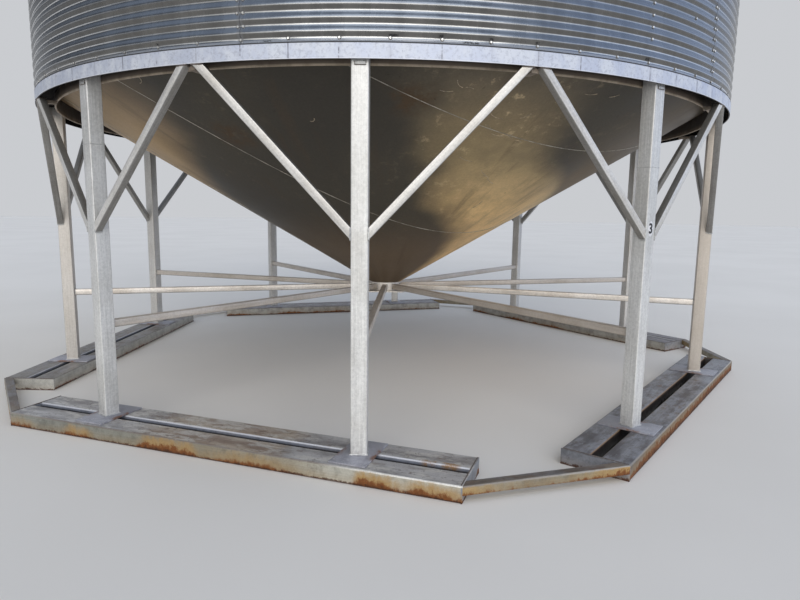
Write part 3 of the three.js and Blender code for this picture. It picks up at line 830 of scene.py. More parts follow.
def bead(mesh, points, radius, seed, closed=False, ripple=0.25, material=0):
    """A weld bead along the points: a thin rope whose thickness ripples."""
    count = len(points)
    rings = []
    for i, point in enumerate(points):
        following = points[(i + 1) % count] if closed or i < count - 1 else point
        previous = points[i - 1] if closed or i > 0 else point
        along = (following - previous).normalized()
        side = (along.cross(UP) if abs(along.z) < 0.9 else along.orthogonal()).normalized()
        wobble = 1 + ripple * noise.noise(Vector((i * 0.9, seed * 3.7, 0.5)))
        wobble += ripple * 0.4 * cos(i * pi)
        rings.append([point + radius * wobble * spread
                      for spread in circle(BEAD_SIDES, side, along.cross(side))])
    skin(mesh, rings, looped=closed, material=material)


def walk(corners, step, closed=True):
    """Points a step apart along a line through the corners."""
    points = []
    ends = corners[1:] + corners[:1] if closed else corners[1:]
    for first, second in zip(corners, ends):
        count = max(1, round((second - first).length / step))
        points += [first.lerp(second, i / count) for i in range(count)]
    if not closed:
        points.append(corners[-1])
    return points


def weld(mesh, corners, radius, seed, closed=True, material=0):
    """A bead along the straight lines between corners."""
    bead(mesh, walk(corners, WELD_STEP, closed), radius, seed, closed, material=material)


def lathe(mesh, section, sides, tones=None):
    """Turns a closed section of (radius, z) points about the silo's axis."""
    columns = [[mesh.verts.new(polar(radius, 360 * i / sides, z)) for radius, z in section]
               for i in range(sides)]
    weave(mesh, list(zip(*columns)), looped=True, tones=tones)


def bevelled(low, high, edge):
    """Insets and heights up the side of a plate with a small bevel round its top and bottom."""
    return (edge, low), (0, low + edge), (0, high - edge), (edge, high)


def slab(mesh, width, depth, low, high, edge, centre=Vector((0, 0))):
    """A bevelled plate about this centre, from low to high."""
    rings = []
    for inset, z in bevelled(low, high, edge):
        loop = rounded(width - 2 * inset, depth - 2 * inset, edge * 1.5, 2)
        rings.append([(centre + corner).to_3d() + UP * z for corner in loop])
    skin(mesh, rings)


# Legs

FOOT_TOP = SKID_HEIGHT + SEAT_GAP + FOOT_THICK
FOOT_BEVEL = 0.0015
FOOT_WELD = 0.005
LEG_TOP = RING_TOP - RING_THICK - SEAT_GAP
SPLICES = {1: 1.79, 3: 1.69, 6: 1.42, 8: 1.86}
SPLICE_WELD = 0.0022
TAB_WIDTH = 0.056
TAB_HEIGHT = 0.017
TAB_DEPTH = 0.012
TAB_TOP = RING_BOTTOM - 0.004
TAB_SHIFT = 0.002
TAB_BEVEL = 0.002
TAB_WELD = 0.0024


def square_ring(half, z):
    """Corners of a square about a leg's axis."""
    return [ahead(LEG_RADIUS - y * half, z, x * half) for x, y in ((1, -1), (1, 1), (-1, 1), (-1, -1))]


def make_leg(number, azimuth, side):
    face = LEG_RADIUS + LEG_TUBE / 2
    place = turn(azimuth)
    post = bmesh.new()
    bar(post, ahead(LEG_RADIUS, FOOT_TOP), ahead(LEG_RADIUS, LEG_TOP), ALONG_X,
        rounded(LEG_TUBE, LEG_TUBE, SMALL_CORNER, 4))
    piece(f"leg_{number}_post", post, [SILVER], f"leg_{number}", matrix=place)

    foot = bmesh.new()
    slab(foot, FOOT_ALONG, FOOT_ACROSS, SKID_HEIGHT + SEAT_GAP, FOOT_TOP, FOOT_BEVEL)
    square = Matrix.Translation(ahead(LEG_RADIUS, 0)) @ rotation(-side * LEG_STEP / 2)
    piece(f"leg_{number}_foot_plate", foot, [FOOT], matrix=place @ square)

    welds = bmesh.new()
    weld(welds, square_ring(LEG_TUBE / 2 + 0.001, FOOT_TOP + 0.002), FOOT_WELD, number)
    slab(welds, TAB_WIDTH, TAB_DEPTH, TAB_TOP - TAB_HEIGHT, TAB_TOP, TAB_BEVEL,
         Vector((TAB_SHIFT, 0.001 - face)))
    rim = [ahead(face + 0.003, z, TAB_SHIFT + x * TAB_WIDTH / 2) for x, z in
           ((-1, TAB_TOP), (-1, TAB_TOP - TAB_HEIGHT), (1, TAB_TOP - TAB_HEIGHT), (1, TAB_TOP))]
    weld(welds, rim, TAB_WELD, number + 60, closed=False, material=1)
    if number in SPLICES:
        weld(welds, square_ring(LEG_TUBE / 2 - 0.0004, SPLICES[number]), SPLICE_WELD, number + 40)
    piece(f"leg_{number}_welds", welds, [WELD, DARK_WELD], matrix=place)


# Brace pairs

BRACE_WELD = 0.0042
BRACE_FOOT_WELD_OUT = 0.002
BRACE_TOP_WELD_DROP = 0.003


def make_braces(number, azimuth):
    place = turn(azimuth)
    tubes, welds = bmesh.new(), bmesh.new()
    ceiling = RING_BOTTOM - SEAT_GAP
    for side in (-1, 1):
        angle = radians(side * LEG_STEP / 2)
        outward = Vector((sin(angle), -cos(angle), 0))
        inward = Vector((-side * cos(angle), -side * sin(angle), 0))
        start = outward * BRACE_FOOT_RADIUS + inward * (LEG_TUBE / 2)
        start.z = BRACE_FOOT_Z
        end = ahead(BRACE_TOP_RADIUS, RING_BOTTOM, side * BRACE_TOP_OFFSET)
        level = UP.cross(end - start).normalized()
        ends = bar(tubes, start, end, level, rounded(BRACE_TUBE, BRACE_TUBE, FINE_CORNER),
                   (inward * (LEG_TUBE / 2 + SEAT_GAP), inward), (UP * ceiling, UP))
        shifts = (inward * BRACE_FOOT_WELD_OUT, UP * -BRACE_TOP_WELD_DROP)
        for ring, shift, tone in zip(ends, shifts, (0, 1)):
            corners = [corner + shift for corner in ring[::2]]
            weld(welds, corners, BRACE_WELD, number * 4 + side, material=tone)
    height = ceiling - STRUT_HEIGHT / 2
    # The strut under the ring, in its painted shade.
    bar(tubes, ahead(STRUT_OUTER, height), ahead(SKIRT_RADIUS + SEAT_GAP, height), ALONG_X,
        rounded(STRUT_WIDTH, STRUT_HEIGHT, FINE_CORNER), material=1)
    piece(f"brace_pair_{number}_tubes", tubes, [BRACE_SILVER, SHADED_STRUT],
          f"brace_pair_{number}", matrix=place)
    piece(f"brace_pair_{number}_welds", welds, [WELD, DARK_WELD], matrix=place)


# Skids and ties

SKID_WELD = 0.0035
SKID_WELD_INSET = 0.01
END_PLATE_BEVEL = 0.0012
TIE_REACH = 0.4


def make_skid(number, azimuth):
    place = turn(azimuth)
    tubes, welds = bmesh.new(), bmesh.new()
    reach = SKID_HALF_LENGTH - SKID_END_PLATE
    for radius in (SKID_OUTER - SKID_TUBE_WIDTH / 2, SKID_INNER + SKID_TUBE_WIDTH / 2):
        start, end = (ahead(radius, SKID_HEIGHT / 2, x) for x in (-reach, reach))
        bar(tubes, start, end, ALONG_Y, rounded(SKID_TUBE_WIDTH, SKID_HEIGHT, TUBE_CORNER, 4))
    for side in (-1, 1):
        slab(tubes, SKID_END_PLATE, SKID_OUTER - SKID_INNER, 0.0, SKID_HEIGHT, END_PLATE_BEVEL,
             Vector((side * (SKID_HALF_LENGTH - SKID_END_PLATE / 2), -(SKID_OUTER + SKID_INNER) / 2)))
        line = [ahead(radius, SKID_HEIGHT - 0.0005, side * (reach - 0.001))
                for radius in (SKID_OUTER - SKID_WELD_INSET, SKID_INNER + SKID_WELD_INSET)]
        weld(welds, line, SKID_WELD, number * 2 + side, closed=False)
    piece(f"skid_{number}_tubes", tubes, [SKIDS[number - 1]], f"skid_{number}", matrix=place)
    piece(f"skid_{number}_welds", welds, [DARK_WELD], matrix=place)


def make_tie(number, azimuth):
    mesh = bmesh.new()
    angle = radians(LEG_STEP)
    normals = [Vector((side * cos(angle), sin(angle), 0)) for side in (-1, 1)]
    cuts = [(-normal * (SKID_HALF_LENGTH + SEAT_GAP), normal) for normal in normals]
    start, end = (ahead(TIE_OUTER - TIE_WIDTH / 2, SKID_HEIGHT - TIE_HEIGHT / 2, x)
                  for x in (-TIE_REACH, TIE_REACH))
    bar(mesh, start, end, ALONG_Y, rounded(TIE_WIDTH, TIE_HEIGHT, SMALL_CORNER), *cuts)
    name = f"corner_tie_{number}"
    piece(f"{name}_tube", mesh, [TIE], name, matrix=turn(azimuth))


# Hub and outlet

HUB_SIDES = 96
HUB_BEVEL = 0.001
SPOKE_WELD = 0.004
SPOKE_WELD_INSET = 0.003
FLANGE_BEVEL = 0.0015


def make_hub():
    collar = bmesh.new()
    inner = COLLAR_RADIUS - COLLAR_WALL
    top = cone_underside(inner) - SEAT_GAP
    low = flange_high.z + SEAT_GAP
    lathe(collar, [(inner, low), (COLLAR_RADIUS - HUB_BEVEL, low), (COLLAR_RADIUS, low + HUB_BEVEL),
                   (COLLAR_RADIUS, top - HUB_BEVEL), (COLLAR_RADIUS - HUB_BEVEL, top), (inner, top)],
          HUB_SIDES)
    piece("outlet_collar", collar, [PLATE_SILVER], "outlet_hub")
    spokes, welds = bmesh.new(), bmesh.new()
    near, far = COLLAR_RADIUS - 0.0005, LEG_RADIUS - LEG_TUBE / 2 - SEAT_GAP
    for i in range(LEG_COUNT):
        place = turn(i * LEG_STEP)
        start, end = (place @ ahead(radius, SPOKE_CENTRE_Z) for radius in (near, far))
        ends = bar(spokes, start, end, place.to_3x3() @ ALONG_X,
                   rounded(SPOKE_TUBE, SPOKE_TUBE, SMALL_CORNER))
        inward = (start - end).normalized()
        for ring, shift in zip(ends, (-SPOKE_WELD_INSET, SPOKE_WELD_INSET)):
            weld(welds, [corner + inward * shift for corner in ring[::2]], SPOKE_WELD, i)
    piece("outlet_spokes", spokes, [SPOKE_SILVER])
    piece("outlet_spoke_welds", welds, [WELD])


def make_flange():
    """A square plate with a round hole, joined from the outside over the top to the hole."""
    mesh = bmesh.new()
    spread = circle(HUB_SIDES, ALONG_X, ALONG_Y, pi / HUB_SIDES)
    outside, hole = [], []
    for inset, z in bevelled(flange_low.z, flange_high.z, FLANGE_BEVEL):
        centre = Vector((AXIS_X, 0, z))
        half = FLANGE_HALF - inset
        outside.append([centre + out * (half / max(abs(out.x), abs(out.y))) for out in spread])
        hole.append([centre + out * (FLANGE_BORE + inset) for out in spread])
    skin(mesh, outside + hole[::-1], looped=True)
    piece("outlet_flange_plate", mesh, [PLATE_SILVER], "outlet_flange")


# Ring beam, skirt and cone

ROUND_SIDES = 360
CONE_SIDES = 240
CONE_ROWS = 30
RING_BEVEL = 0.0015
SEALANT_INSET = 0.0003
SEALANT_DEPTH = 0.006
SKIRT_ROLL = 0.0062
ROLL_STEPS = 8
ROLL_START = 0.75 * pi
ROLL_SWEEP = 1.25 * pi


def make_ring():
    mesh = bmesh.new()
    inner = SKIRT_RADIUS + SEAT_GAP
    web = WALL_RADIUS - RING_THICK
    band = [(web, RING_BOTTOM + 0.001), (web + 0.001, RING_BOTTOM), (WALL_RADIUS - RING_BEVEL, RING_BOTTOM),
            (WALL_RADIUS, RING_BOTTOM + RING_BEVEL), (WALL_RADIUS, RING_TOP - 0.002),
            (WALL_RADIUS - 0.002, RING_TOP)]
    # The hollow's faces take the near-black painted shade.
    hollow = [(inner, RING_TOP), (inner, RING_TOP - RING_THICK), (web, RING_TOP - RING_THICK)]
    lathe(mesh, band + hollow, ROUND_SIDES, [0] * len(band) + [1] * len(hollow))
    piece("ring_beam_band", mesh, [BAND, HOLLOW_SHADE], "ring_beam")
    joint = bmesh.new()
    out = WALL_RADIUS - SEALANT_INSET
    inner = out - SEALANT_DEPTH
    lathe(joint, [(inner, RING_TOP - 0.0005), (out, RING_TOP - 0.0012), (out, WALL_BOTTOM + 0.003),
                  (inner, WALL_BOTTOM + 0.0022)], ROUND_SIDES)
    piece("ring_beam_sealant", joint, [SEALANT])


def make_skirt():
    """A plain band whose lower edge is rolled inward."""
    mesh = bmesh.new()
    inner, centre = SKIRT_RADIUS - SKIRT_THICK, SKIRT_RADIUS - SKIRT_ROLL
    section = [(inner, skirt_high.z), (inner, SKIRT_BOTTOM + 2 * SKIRT_ROLL)]
    for step in range(ROLL_STEPS + 1):
        angle = ROLL_START + ROLL_SWEEP * step / ROLL_STEPS
        section.append((centre + SKIRT_ROLL * cos(angle), SKIRT_BOTTOM + SKIRT_ROLL * (1 + sin(angle))))
    section.append((SKIRT_RADIUS, skirt_high.z))
    lathe(mesh, section, ROUND_SIDES)
    piece("hopper_skirt_band", mesh, [SKIRT], "hopper_skirt")


def make_cone():
    mesh = bmesh.new()
    rim = WALL_RADIUS - SHEET_DEPTH - SEAT_GAP
    lift = CONE_THICK / cos(CONE_SLOPE)
    radii = [CONE_LOW_RADIUS + (rim - CONE_LOW_RADIUS) * i / CONE_ROWS for i in range(CONE_ROWS + 1)]
    section = [(radius, cone_underside(radius)) for radius in radii]
    section += [(rim, cone_underside(rim) + lift), (CONE_LOW_RADIUS, CONE_LOW_Z + lift)]
    lathe(mesh, section, CONE_SIDES)
    piece("hopper_cone_plates", mesh, [CONE], "hopper_cone")


# The cone's seams are straight in its flat development: parallel lines a sheet's width apart, at
# an angle to the line that azimuth 0 makes there. One more seam runs up the back.

SEAM_LINES = range(-4, 2)
SEAM_ANGLE = radians(35.93)
FIRST_SEAM = 1.182
SEAM_SPACING = 1.235
SEAM_WELD = 0.0028
SEAM_RIPPLE = 0.18
SEAM_STEP = 0.012
SEAM_MARGIN = 0.01
SHORTEST_SEAM = 4
BACK_SEAM_STEPS = 210
BACK_SEAM_LENGTH = SKIRT_RADIUS - 0.18


def cone_point(along, offset):
    """A point on the cone's underside from its flat development, or None beyond its edges."""
    x = offset * sin(SEAM_ANGLE) + along * cos(SEAM_ANGLE)
    y = offset * cos(SEAM_ANGLE) - along * sin(SEAM_ANGLE)
    azimuth = degrees(atan2(x, y) / cos(CONE_SLOPE))
    radius = hypot(x, y) * cos(CONE_SLOPE)
    edge = SKIRT_RADIUS - SKIRT_THICK - SEAM_MARGIN
    if abs(azimuth) > 180 or not COLLAR_RADIUS + SEAM_MARGIN < radius < edge:
        return None
    return polar(radius, azimuth, cone_underside(radius))


def make_cone_seams():
    mesh = bmesh.new()
    reach = round(WALL_RADIUS / cos(CONE_SLOPE) / SEAM_STEP)
    for index in SEAM_LINES:
        run = []
        for i in range(-reach, reach + 2):
            point = cone_point(i * SEAM_STEP, FIRST_SEAM + SEAM_SPACING * index) if i <= reach else None
            if point:
                run.append(point)
                continue
            if len(run) >= SHORTEST_SEAM:
                bead(mesh, run, SEAM_WELD, index + i, ripple=SEAM_RIPPLE)
            run = []
    back = [COLLAR_RADIUS + SEAM_MARGIN + BACK_SEAM_LENGTH * i / BACK_SEAM_STEPS
            for i in range(BACK_SEAM_STEPS + 1)]
    bead(mesh, [polar(radius, 180, cone_underside(radius)) for radius in back], SEAM_WELD, 5,
         ripple=SEAM_RIPPLE)
    piece("hopper_cone_seams", mesh, [SEAM])


# Short arcs where something rubbed the cone: azimuth, radius, length, bend in radians and lie in
# degrees

SCUFFS = ((30.8, 2.536, 0.09, 0.5, 10), (35.5, 2.542, 0.07, 0.6, 25), (-32.75, 2.604, 0.11, 2.4, 70),
          (18.1, 2.337, 0.12, 1.0, -20), (23.6, 2.307, 0.07, 0.8, 40), (22.4, 2.156, 0.09, 0.9, 15),
          (9.6, 2.478, 0.08, 0.7, 0), (128, 2.2, 0.1, 0.9, 20), (-140, 2.45, 0.09, 0.7, -30),
          (17.4, 1.938, 0.11, 0.6, -19), (24.2, 1.815, 0.09, 0.5, -34), (25.6, 1.76, 0.07, -0.6, -20),
          (27.6, 1.73, 0.1, 0.4, -30), (32.1, 1.373, 0.1, 0.7, 75), (18.5, 2.235, 0.08, -0.8, -35),
          (20.6, 2.165, 0.09, 0.5, -10), (23.4, 2.175, 0.08, 0.9, -28), (26.0, 2.12, 0.06, -0.5, -12),
          (11.5, 2.552, 0.07, 1.2, -45), (12.9, 2.505, 0.05, -0.9, -10), (-9.4, 2.234, 0.05, 2.2, 40))
SCUFF_STEPS = 14
SCUFF_THICK = 0.0022
SCUFF_RIPPLE = 0.5


def make_scuffs():
    mesh = bmesh.new()
    for seed, (azimuth, radius, length, bend, lie) in enumerate(SCUFFS):
        points = []
        heading = radians(lie) - bend / 2
        across, outward = 0.0, 0.0
        for _ in range(SCUFF_STEPS + 1):
            r = radius + outward
            points.append(polar(r, azimuth + degrees(across / r), cone_underside(r) - 0.0002))
            across += cos(heading) * length / SCUFF_STEPS
            outward += sin(heading) * length / SCUFF_STEPS
            heading += bend / SCUFF_STEPS
        bead(mesh, points, SCUFF_THICK, seed, ripple=SCUFF_RIPPLE)
    piece("hopper_cone_scuffs", mesh, [SCUFF])


# Wall. The shifts are degrees from a bolt where a sheet gets a column of vertices.

SWING = (SHEET_DEPTH - LAP) / 2
DIMPLE_DEPTH = 0.003
DIMPLE_WIDTH = 0.02
DIMPLED_ROWS = 14
TIER_ROWS = 96
LOW_SHIFTS = (-1.6, -0.9, -0.5, -0.25, 0, 0.25, 0.5, 0.9, 1.6)
UPPER_SHIFTS = (-1.6, -0.8, -0.35, 0, 0.35, 0.8, 1.6)


def sheet_radius(z):
    """The corrugated outer surface, with a valley at the lowest bolts and each pitch above."""
    return WALL_RADIUS - SWING * (1 + cos(2 * pi * (z - LOW_VALLEY) / PITCH))


def seam_azimuth(tier, sheet):
    """The seams of every other tier are turned by half a sheet."""
    return FIRST_BOLT + SHEET_SPAN * (sheet + tier % 2 / 2)


def dimple(azimuth, rise):
    """How far a bolt of the bottom valley pulls the sheet in at this place above the valley."""
    step = (azimuth - FIRST_BOLT) / BOLT_STEP
    across = radians((step - round(step)) * BOLT_STEP) * WALL_RADIUS
    return DIMPLE_DEPTH * exp(-(across ** 2 + rise ** 2) / (2 * DIMPLE_WIDTH ** 2))


def sheet_columns(start, stop, shifts):
    """Azimuths across a sheet: close ones at each bolt of the bottom valley."""
    columns = {start, stop}
    bolt = FIRST_BOLT + BOLT_STEP * ceil((start - FIRST_BOLT) / BOLT_STEP)
    while bolt < stop:
        columns.update(bolt + shift for shift in shifts if start < bolt + shift < stop)
        bolt += BOLT_STEP
    return sorted(columns)


def make_tier(tier):
    floor = tier * TIER_HEIGHT
    span = SHEET_SPAN + 2 * SHEET_OVERLAP
    verts, faces = [], []
    for sheet in range(SHEETS_PER_TIER):
        first = len(verts)
        start = seam_azimuth(tier, sheet) - SHEET_OVERLAP
        azimuths = sheet_columns(start, start + span, UPPER_SHIFTS if tier else LOW_SHIFTS)
        for row in range(TIER_ROWS + 1):
            z = WALL_BOTTOM + floor + TIER_HEIGHT * row / TIER_ROWS
            base = sheet_radius(z - floor) - LAP / 2 * row / TIER_ROWS
            for azimuth in azimuths:
                pull = dimple(azimuth, z - LOW_VALLEY - floor) if row < DIMPLED_ROWS else 0
                verts.append(polar(base - pull - LAP / 2 * (azimuth - start) / span, azimuth, z))
        width = len(azimuths)
        for row in range(TIER_ROWS):
            for corner in range(first + row * width, first + (row + 1) * width - 1):
                faces.append((corner, corner + 1, corner + width + 1, corner + width))
    data = bpy.data.meshes.new(f"wall_tier_{tier + 1}_sheets")
    data.from_pydata(verts, [], faces)
    piece_from_data(data.name, data, [WALL], f"wall_tier_{tier + 1}", sharp=60)


# Bolts. Their rings are radius and lift from the sheet, washer first. Every other corner of the
# head is drawn in, which makes it a hexagon. Lone bolts are azimuth and valley.

BOLT_SEED = 40
BOLT_DRIFT = 0.04
BOLT_SIDES = 12
BOLT_HEAD = 0.0066
BOLT_WASHER = 0.0102
BOLT_RINGS = ((BOLT_WASHER, 0.0), (BOLT_WASHER, 0.0018), (BOLT_HEAD * 1.02, 0.0026),
              (BOLT_HEAD, 0.0032), (BOLT_HEAD, 0.0058), (BOLT_HEAD * 0.8, 0.0072))
WASHER_RINGS = 3
HEAD_DRAWN_IN = 0.9
SEAM_BOLTS_HALF_GAP = degrees(0.015 / WALL_RADIUS)
LONE_BOLTS = ((33.24, 2), (33.24, 3), (33.24, 4), (33.24, 5), (41.9, 5), (213.2, 3), (213.2, 4))


def add_bolt(verts, faces, tones, centre, outward, spin):
    """A hexagon bolt on a dark washer, facing outward."""
    side = UP.cross(outward).normalized()
    spread = circle(BOLT_SIDES, side, outward.cross(side), spin)
    first = len(verts)
    for level, (radius, lift) in enumerate(BOLT_RINGS):
        for i, out in enumerate(spread):
            reach = radius * (HEAD_DRAWN_IN if level >= WASHER_RINGS and i % 2 else 1.0)
            verts.append(centre + outward * lift + reach * out)
    for level in range(len(BOLT_RINGS) - 1):
        a = first + level * BOLT_SIDES
        b = a + BOLT_SIDES
        for i in range(BOLT_SIDES):
            j = (i + 1) % BOLT_SIDES
            faces.append((a + i, a + j, b + j, b + i))
            tones.append(1 if level < WASHER_RINGS else 0)
    faces.append(tuple(b + i for i in range(BOLT_SIDES)))
    tones.append(0)


def wall_bolts(tier, rng):
    """Places of one tier's bolts: its bottom valley and its sheet seams."""
    low_valley = LOW_VALLEY + tier * TIER_HEIGHT
    places = [(FIRST_BOLT + BOLT_STEP * i, low_valley, DIMPLE_DEPTH) for i in range(360 // BOLT_STEP)]
    for sheet in range(SHEETS_PER_TIER):
        centre = seam_azimuth(tier, sheet)
        for valley in range(1, round(TIER_HEIGHT / PITCH)):
            for side in (-1, 1):
                places.append((centre + side * SEAM_BOLTS_HALF_GAP, low_valley + PITCH * valley, 0))
    if tier == 0:
        places += [(azimuth, low_valley + PITCH * valley, 0) for azimuth, valley in LONE_BOLTS]
    return [(azimuth + rng.uniform(-BOLT_DRIFT, BOLT_DRIFT), z, sunk, rng.uniform(0, 1))
            for azimuth, z, sunk in places]


def make_bolts(tier):
    floor = tier * TIER_HEIGHT
    verts, faces, tones = [], [], []
    for azimuth, z, sunk, spin in wall_bolts(tier, random.Random(BOLT_SEED + tier)):
        outward = (polar(1, azimuth, 0) - polar(0, azimuth, 0)).normalized()
        lap = LAP / 2 * (z - WALL_BOTTOM - floor) / TIER_HEIGHT
        centre = polar(sheet_radius(z - floor) - lap - sunk, azimuth, z)
        add_bolt(verts, faces, tones, centre, outward, spin)
    data = bpy.data.meshes.new(f"wall_tier_{tier + 1}_bolts")
    data.from_pydata(verts, [], faces)
    data.polygons.foreach_set("material_index", tones)
    piece_from_data(data.name, data, [BOLT, WASHER], sharp=30)


# Roof. A rib's profile is offset and share of its height; flats are shares of a panel.

ROOF_ROWS = 14
RIB_FOOT = 0.034
RIB_CROWN = 0.013
RIB_PROFILE = ((-RIB_FOOT, 0.0), (-RIB_CROWN - 0.004, 0.85), (-RIB_CROWN, 1.0),
               (RIB_CROWN, 1.0), (RIB_CROWN + 0.004, 0.85), (RIB_FOOT, 0.0))
RIB_RISE = RIB_HEIGHT - 0.012
PANEL_FLATS = (0.3, 0.5, 0.7)
DRIP_SIDES = 240
CAP_SIDES = 120
PEAK_GAP = 0.0006
CAP_RIM = 0.04
CAP_STEPS = 6
CAP_CURVE = 0.96
CAP_TIP = 0.0001


def roof_top(radius):
    """Height of the deck's upper surface."""
    return ROOF_BOTTOM + ROOF_THICK + (ROOF_EDGE - radius) * tan(ROOF_SLOPE)


def make_roof():
    mesh = bmesh.new()
    inner = PEAK_RADIUS + PEAK_GAP
    panel = 360 / RIB_COUNT
    rings = []
    for row in range(ROOF_ROWS + 1):
        radius = ROOF_EDGE + (inner - ROOF_EDGE) * row / ROOF_ROWS
        top = roof_top(radius)
        ring = []
        for rib in range(RIB_COUNT):
            ring += [polar(radius, rib * panel + degrees(offset / radius), top + share * RIB_RISE)
                     for offset, share in RIB_PROFILE]
            ring += [polar(radius, (rib + share) * panel, top) for share in PANEL_FLATS]
        rings.append(ring)

    def underneath(ring):
        return [Vector((p.x, p.y, roof_top(hypot(p.x - AXIS_X, p.y)) - ROOF_THICK)) for p in ring]

    skin(mesh, [underneath(rings[-1]), *reversed(rings), underneath(rings[0])], looped=True)
    piece("roof_panels", mesh, [ROOF], "roof_deck", sharp=25)


def make_roof_trim():
    eave, peak, cap = bmesh.new(), bmesh.new(), bmesh.new()
    drip = ((0.004, 0.004), (0.004, -0.05), (0.012, -0.056), (0.01, -0.06), (0.001, -0.052), (0.001, 0.004))
    lathe(eave, [(ROOF_EDGE - inset, ROOF_BOTTOM + lift) for inset, lift in drip], DRIP_SIDES)
    piece("roof_drip_edge", eave, [ROOF])
    inner = PEAK_RADIUS - PEAK_WALL
    lathe(peak, [(inner, collar_low.z), (PEAK_RADIUS, collar_low.z), (PEAK_RADIUS, collar_high.z - 0.001),
                 (inner, collar_high.z)], CAP_SIDES)
    piece("roof_peak_collar_band", peak, [ROOF], "roof_peak_collar")
    low, eaves = cap_low.z, cap_low.z + CAP_RIM
    section = [(CAP_TIP, low), (CAP_RADIUS - 0.004, low), (CAP_RADIUS, low + 0.004),
               (CAP_RADIUS, eaves - 0.006), (CAP_RADIUS - 0.01, eaves)]
    for step in range(1, CAP_STEPS + 1):
        share = step / CAP_STEPS
        height = (cap_high.z - eaves) * share ** CAP_CURVE
        section.append((CAP_RADIUS * (1 - share) + CAP_TIP, eaves + height))
    lathe(cap, section, CAP_SIDES)
    bmesh.ops.remove_doubles(cap, verts=cap.verts, dist=5 * CAP_TIP)
    piece("roof_cap_lid", cap, [ROOF], "roof_cap")


# Label with its plain number, on leg 3

LABEL_AZIMUTH = 36
LABEL_Z = 1.33
LABEL_HALF_WIDTH = 0.024
LABEL_HALF_HEIGHT = 0.046
LABEL_THICK = 0.0005
LABEL_SIDES = 40
LABEL_GAP = 0.0002
NUMBER_SIZE = 0.082
NUMBER_BOLDNESS = 0.0028


def make_label():
    face = ahead(LEG_RADIUS + LEG_TUBE / 2 + LABEL_GAP, LABEL_Z)
    place = turn(LABEL_AZIMUTH) @ Matrix.Translation(face) @ rotation(90, "X")
    plate = bmesh.new()
    spread = circle(LABEL_SIDES, LABEL_HALF_WIDTH * ALONG_X, LABEL_HALF_HEIGHT * ALONG_Y)
    skin(plate, [[out * shrink + UP * lift for out in spread] for shrink, lift in
                 ((1, 0), (1, LABEL_THICK * 0.6), (0.985, LABEL_THICK))])
    piece("leg_3_label", plate, [LABEL], matrix=place)
    text = bpy.data.curves.new("leg_3_number", "FONT")
    text.body = "3"
    text.size = NUMBER_SIZE
    text.align_x = text.align_y = "CENTER"
    text.extrude = LABEL_GAP
    text.offset = NUMBER_BOLDNESS
    holder = placed("number_source", text)
    bpy.context.view_layer.update()
    data = bpy.data.meshes.new_from_object(holder.evaluated_get(bpy.context.evaluated_depsgraph_get()))
    bpy.data.objects.remove(holder)
    data.transform(place @ Matrix.Translation(UP * (LABEL_THICK + LABEL_GAP)))
    data.name = "leg_3_number"
    data.materials.clear()
    piece_from_data("leg_3_number", data, [FIGURE])


# The stage, lights and camera

FLOOR_RADIUS = 90
FLOOR_SIDES = 96
SKY = (0.5, 0.56, 0.66)
FRONT_GLOW = (0.87, 0.86, 0.83)
RIGHT_GLOW = (0.61, 0.73, 0.98)
LEFT_SHADE = (0.125, 0.133, 0.148)
BACKDROP = (0.588, 0.602, 0.628)


def make_stage():
    bpy.ops.mesh.primitive_circle_add(vertices=FLOOR_SIDES, radius=FLOOR_RADIUS, fill_type="NGON",
                                      location=(AXIS_X, 0, 0))
    floor = bpy.context.object
    floor.name = "studio_floor"
    f = Finish("studio_floor")
    worn = f.ramp(f.noise(f.place, 0.35, 3), 0.3, 0.7)
    floor.data.materials.append(f.done(f.blend(worn, (0.78, 0.75, 0.705), (0.82, 0.79, 0.745)), 0.8))


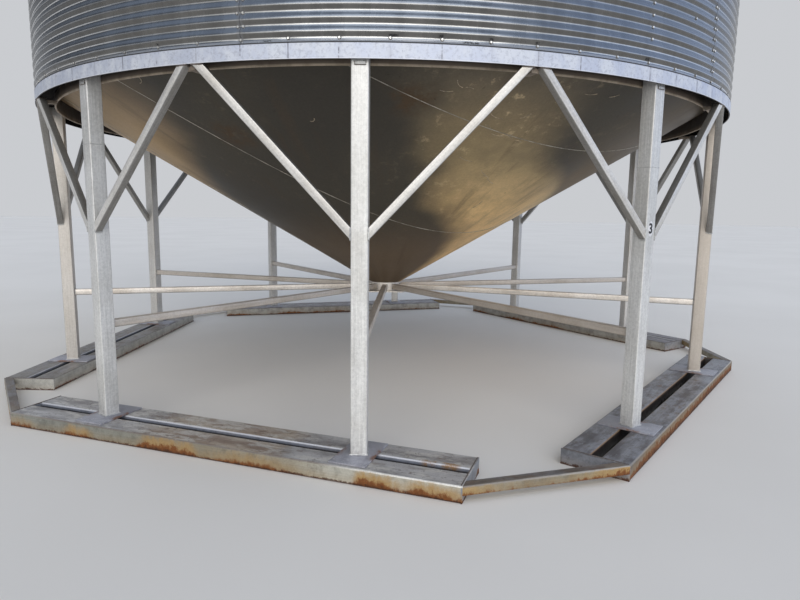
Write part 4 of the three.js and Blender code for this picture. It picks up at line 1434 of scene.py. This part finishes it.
def make_world():
    """Soft studio light: bright in front, cool right, dim left above a pale skyline, pale behind."""
    world = bpy.data.worlds.new("studio")
    bpy.context.scene.world = world
    world.use_nodes = True
    n = Nodes(world.node_tree)
    x, y, z = n.parts(n.make("TexCoord").outputs["Generated"])
    skyline = n.minus(1.0, n.times(n.window(z, 0.03, 0.03, 0.05), 0.75))
    light = n.layers(
        SKY, (n.times(n.ramp(x, -0.1, -0.8), n.ramp(z, 0.75, 0.3), skyline), LEFT_SHADE),
        (n.ramp(x, 0.35, 0.9), RIGHT_GLOW),
        (n.times(n.ramp(y, -0.45, -0.92), n.ramp(z, 0.6, 0.1)), FRONT_GLOW),
        (n.times(n.ramp(y, 0.45, 0.75), n.ramp(z, 0.5, 0.25)), BACKDROP))
    n.feed(world.node_tree.nodes["Background"].inputs["Color"], light)


def add_sun(name, azimuth, elevation, strength, spread, colour):
    """A wide soft sun that shines from this azimuth and elevation."""
    data = bpy.data.lights.new(name, "SUN")
    data.energy = strength
    data.angle = radians(spread)
    data.color = colour
    rise = radians(elevation)
    towards = polar(cos(rise), azimuth, sin(rise)) - polar(0, 0, 0)
    placed(name, data).rotation_euler = (-towards).to_track_quat("-Z", "Y").to_euler()


def make_camera():
    data = bpy.data.cameras.new("photo_camera")
    data.sensor_fit = "HORIZONTAL"
    data.sensor_width = SENSOR
    data.lens = FOCAL_PIXELS / IMAGE_WIDTH * SENSOR
    data.clip_end = CLIP_END
    camera = placed("photo_camera", data)
    flat = cos(CAMERA_PITCH)
    forward = Vector((sin(CAMERA_HEADING) * flat, cos(CAMERA_HEADING) * flat, -sin(CAMERA_PITCH)))
    level = Vector((cos(CAMERA_HEADING), -sin(CAMERA_HEADING), 0))
    upright = level.cross(forward)
    right = cos(CAMERA_ROLL) * level + sin(CAMERA_ROLL) * upright
    up = cos(CAMERA_ROLL) * upright - sin(CAMERA_ROLL) * level
    axes = Matrix((right, up, -forward)).transposed().to_4x4()
    camera.matrix_world = Matrix.Translation(CAMERA_AT) @ axes
    bpy.context.scene.camera = camera
    bpy.context.scene.view_settings.view_transform = "Standard"


for index in range(SKID_COUNT):
    middle = -LEG_STEP / 2 + index * 2 * LEG_STEP
    make_skid(index + 1, middle)
    make_tie(index + 1, middle + LEG_STEP)
    for side in (-1, 1):
        make_leg(2 * index + (side + 3) // 2, middle + side * LEG_STEP / 2, side)
for index in range(LEG_COUNT):
    make_braces(index + 1, index * LEG_STEP - LEG_STEP / 2)
make_hub()
make_flange()
make_ring()
make_skirt()
make_cone()
make_cone_seams()
make_scuffs()
for index in range(TIER_COUNT):
    make_tier(index)
    make_bolts(index)
make_roof()
make_roof_trim()
make_label()
make_stage()
make_world()
add_sun("key", azimuth=4, elevation=25, strength=1.68, spread=64, colour=(1.0, 0.97, 0.93))
make_camera()
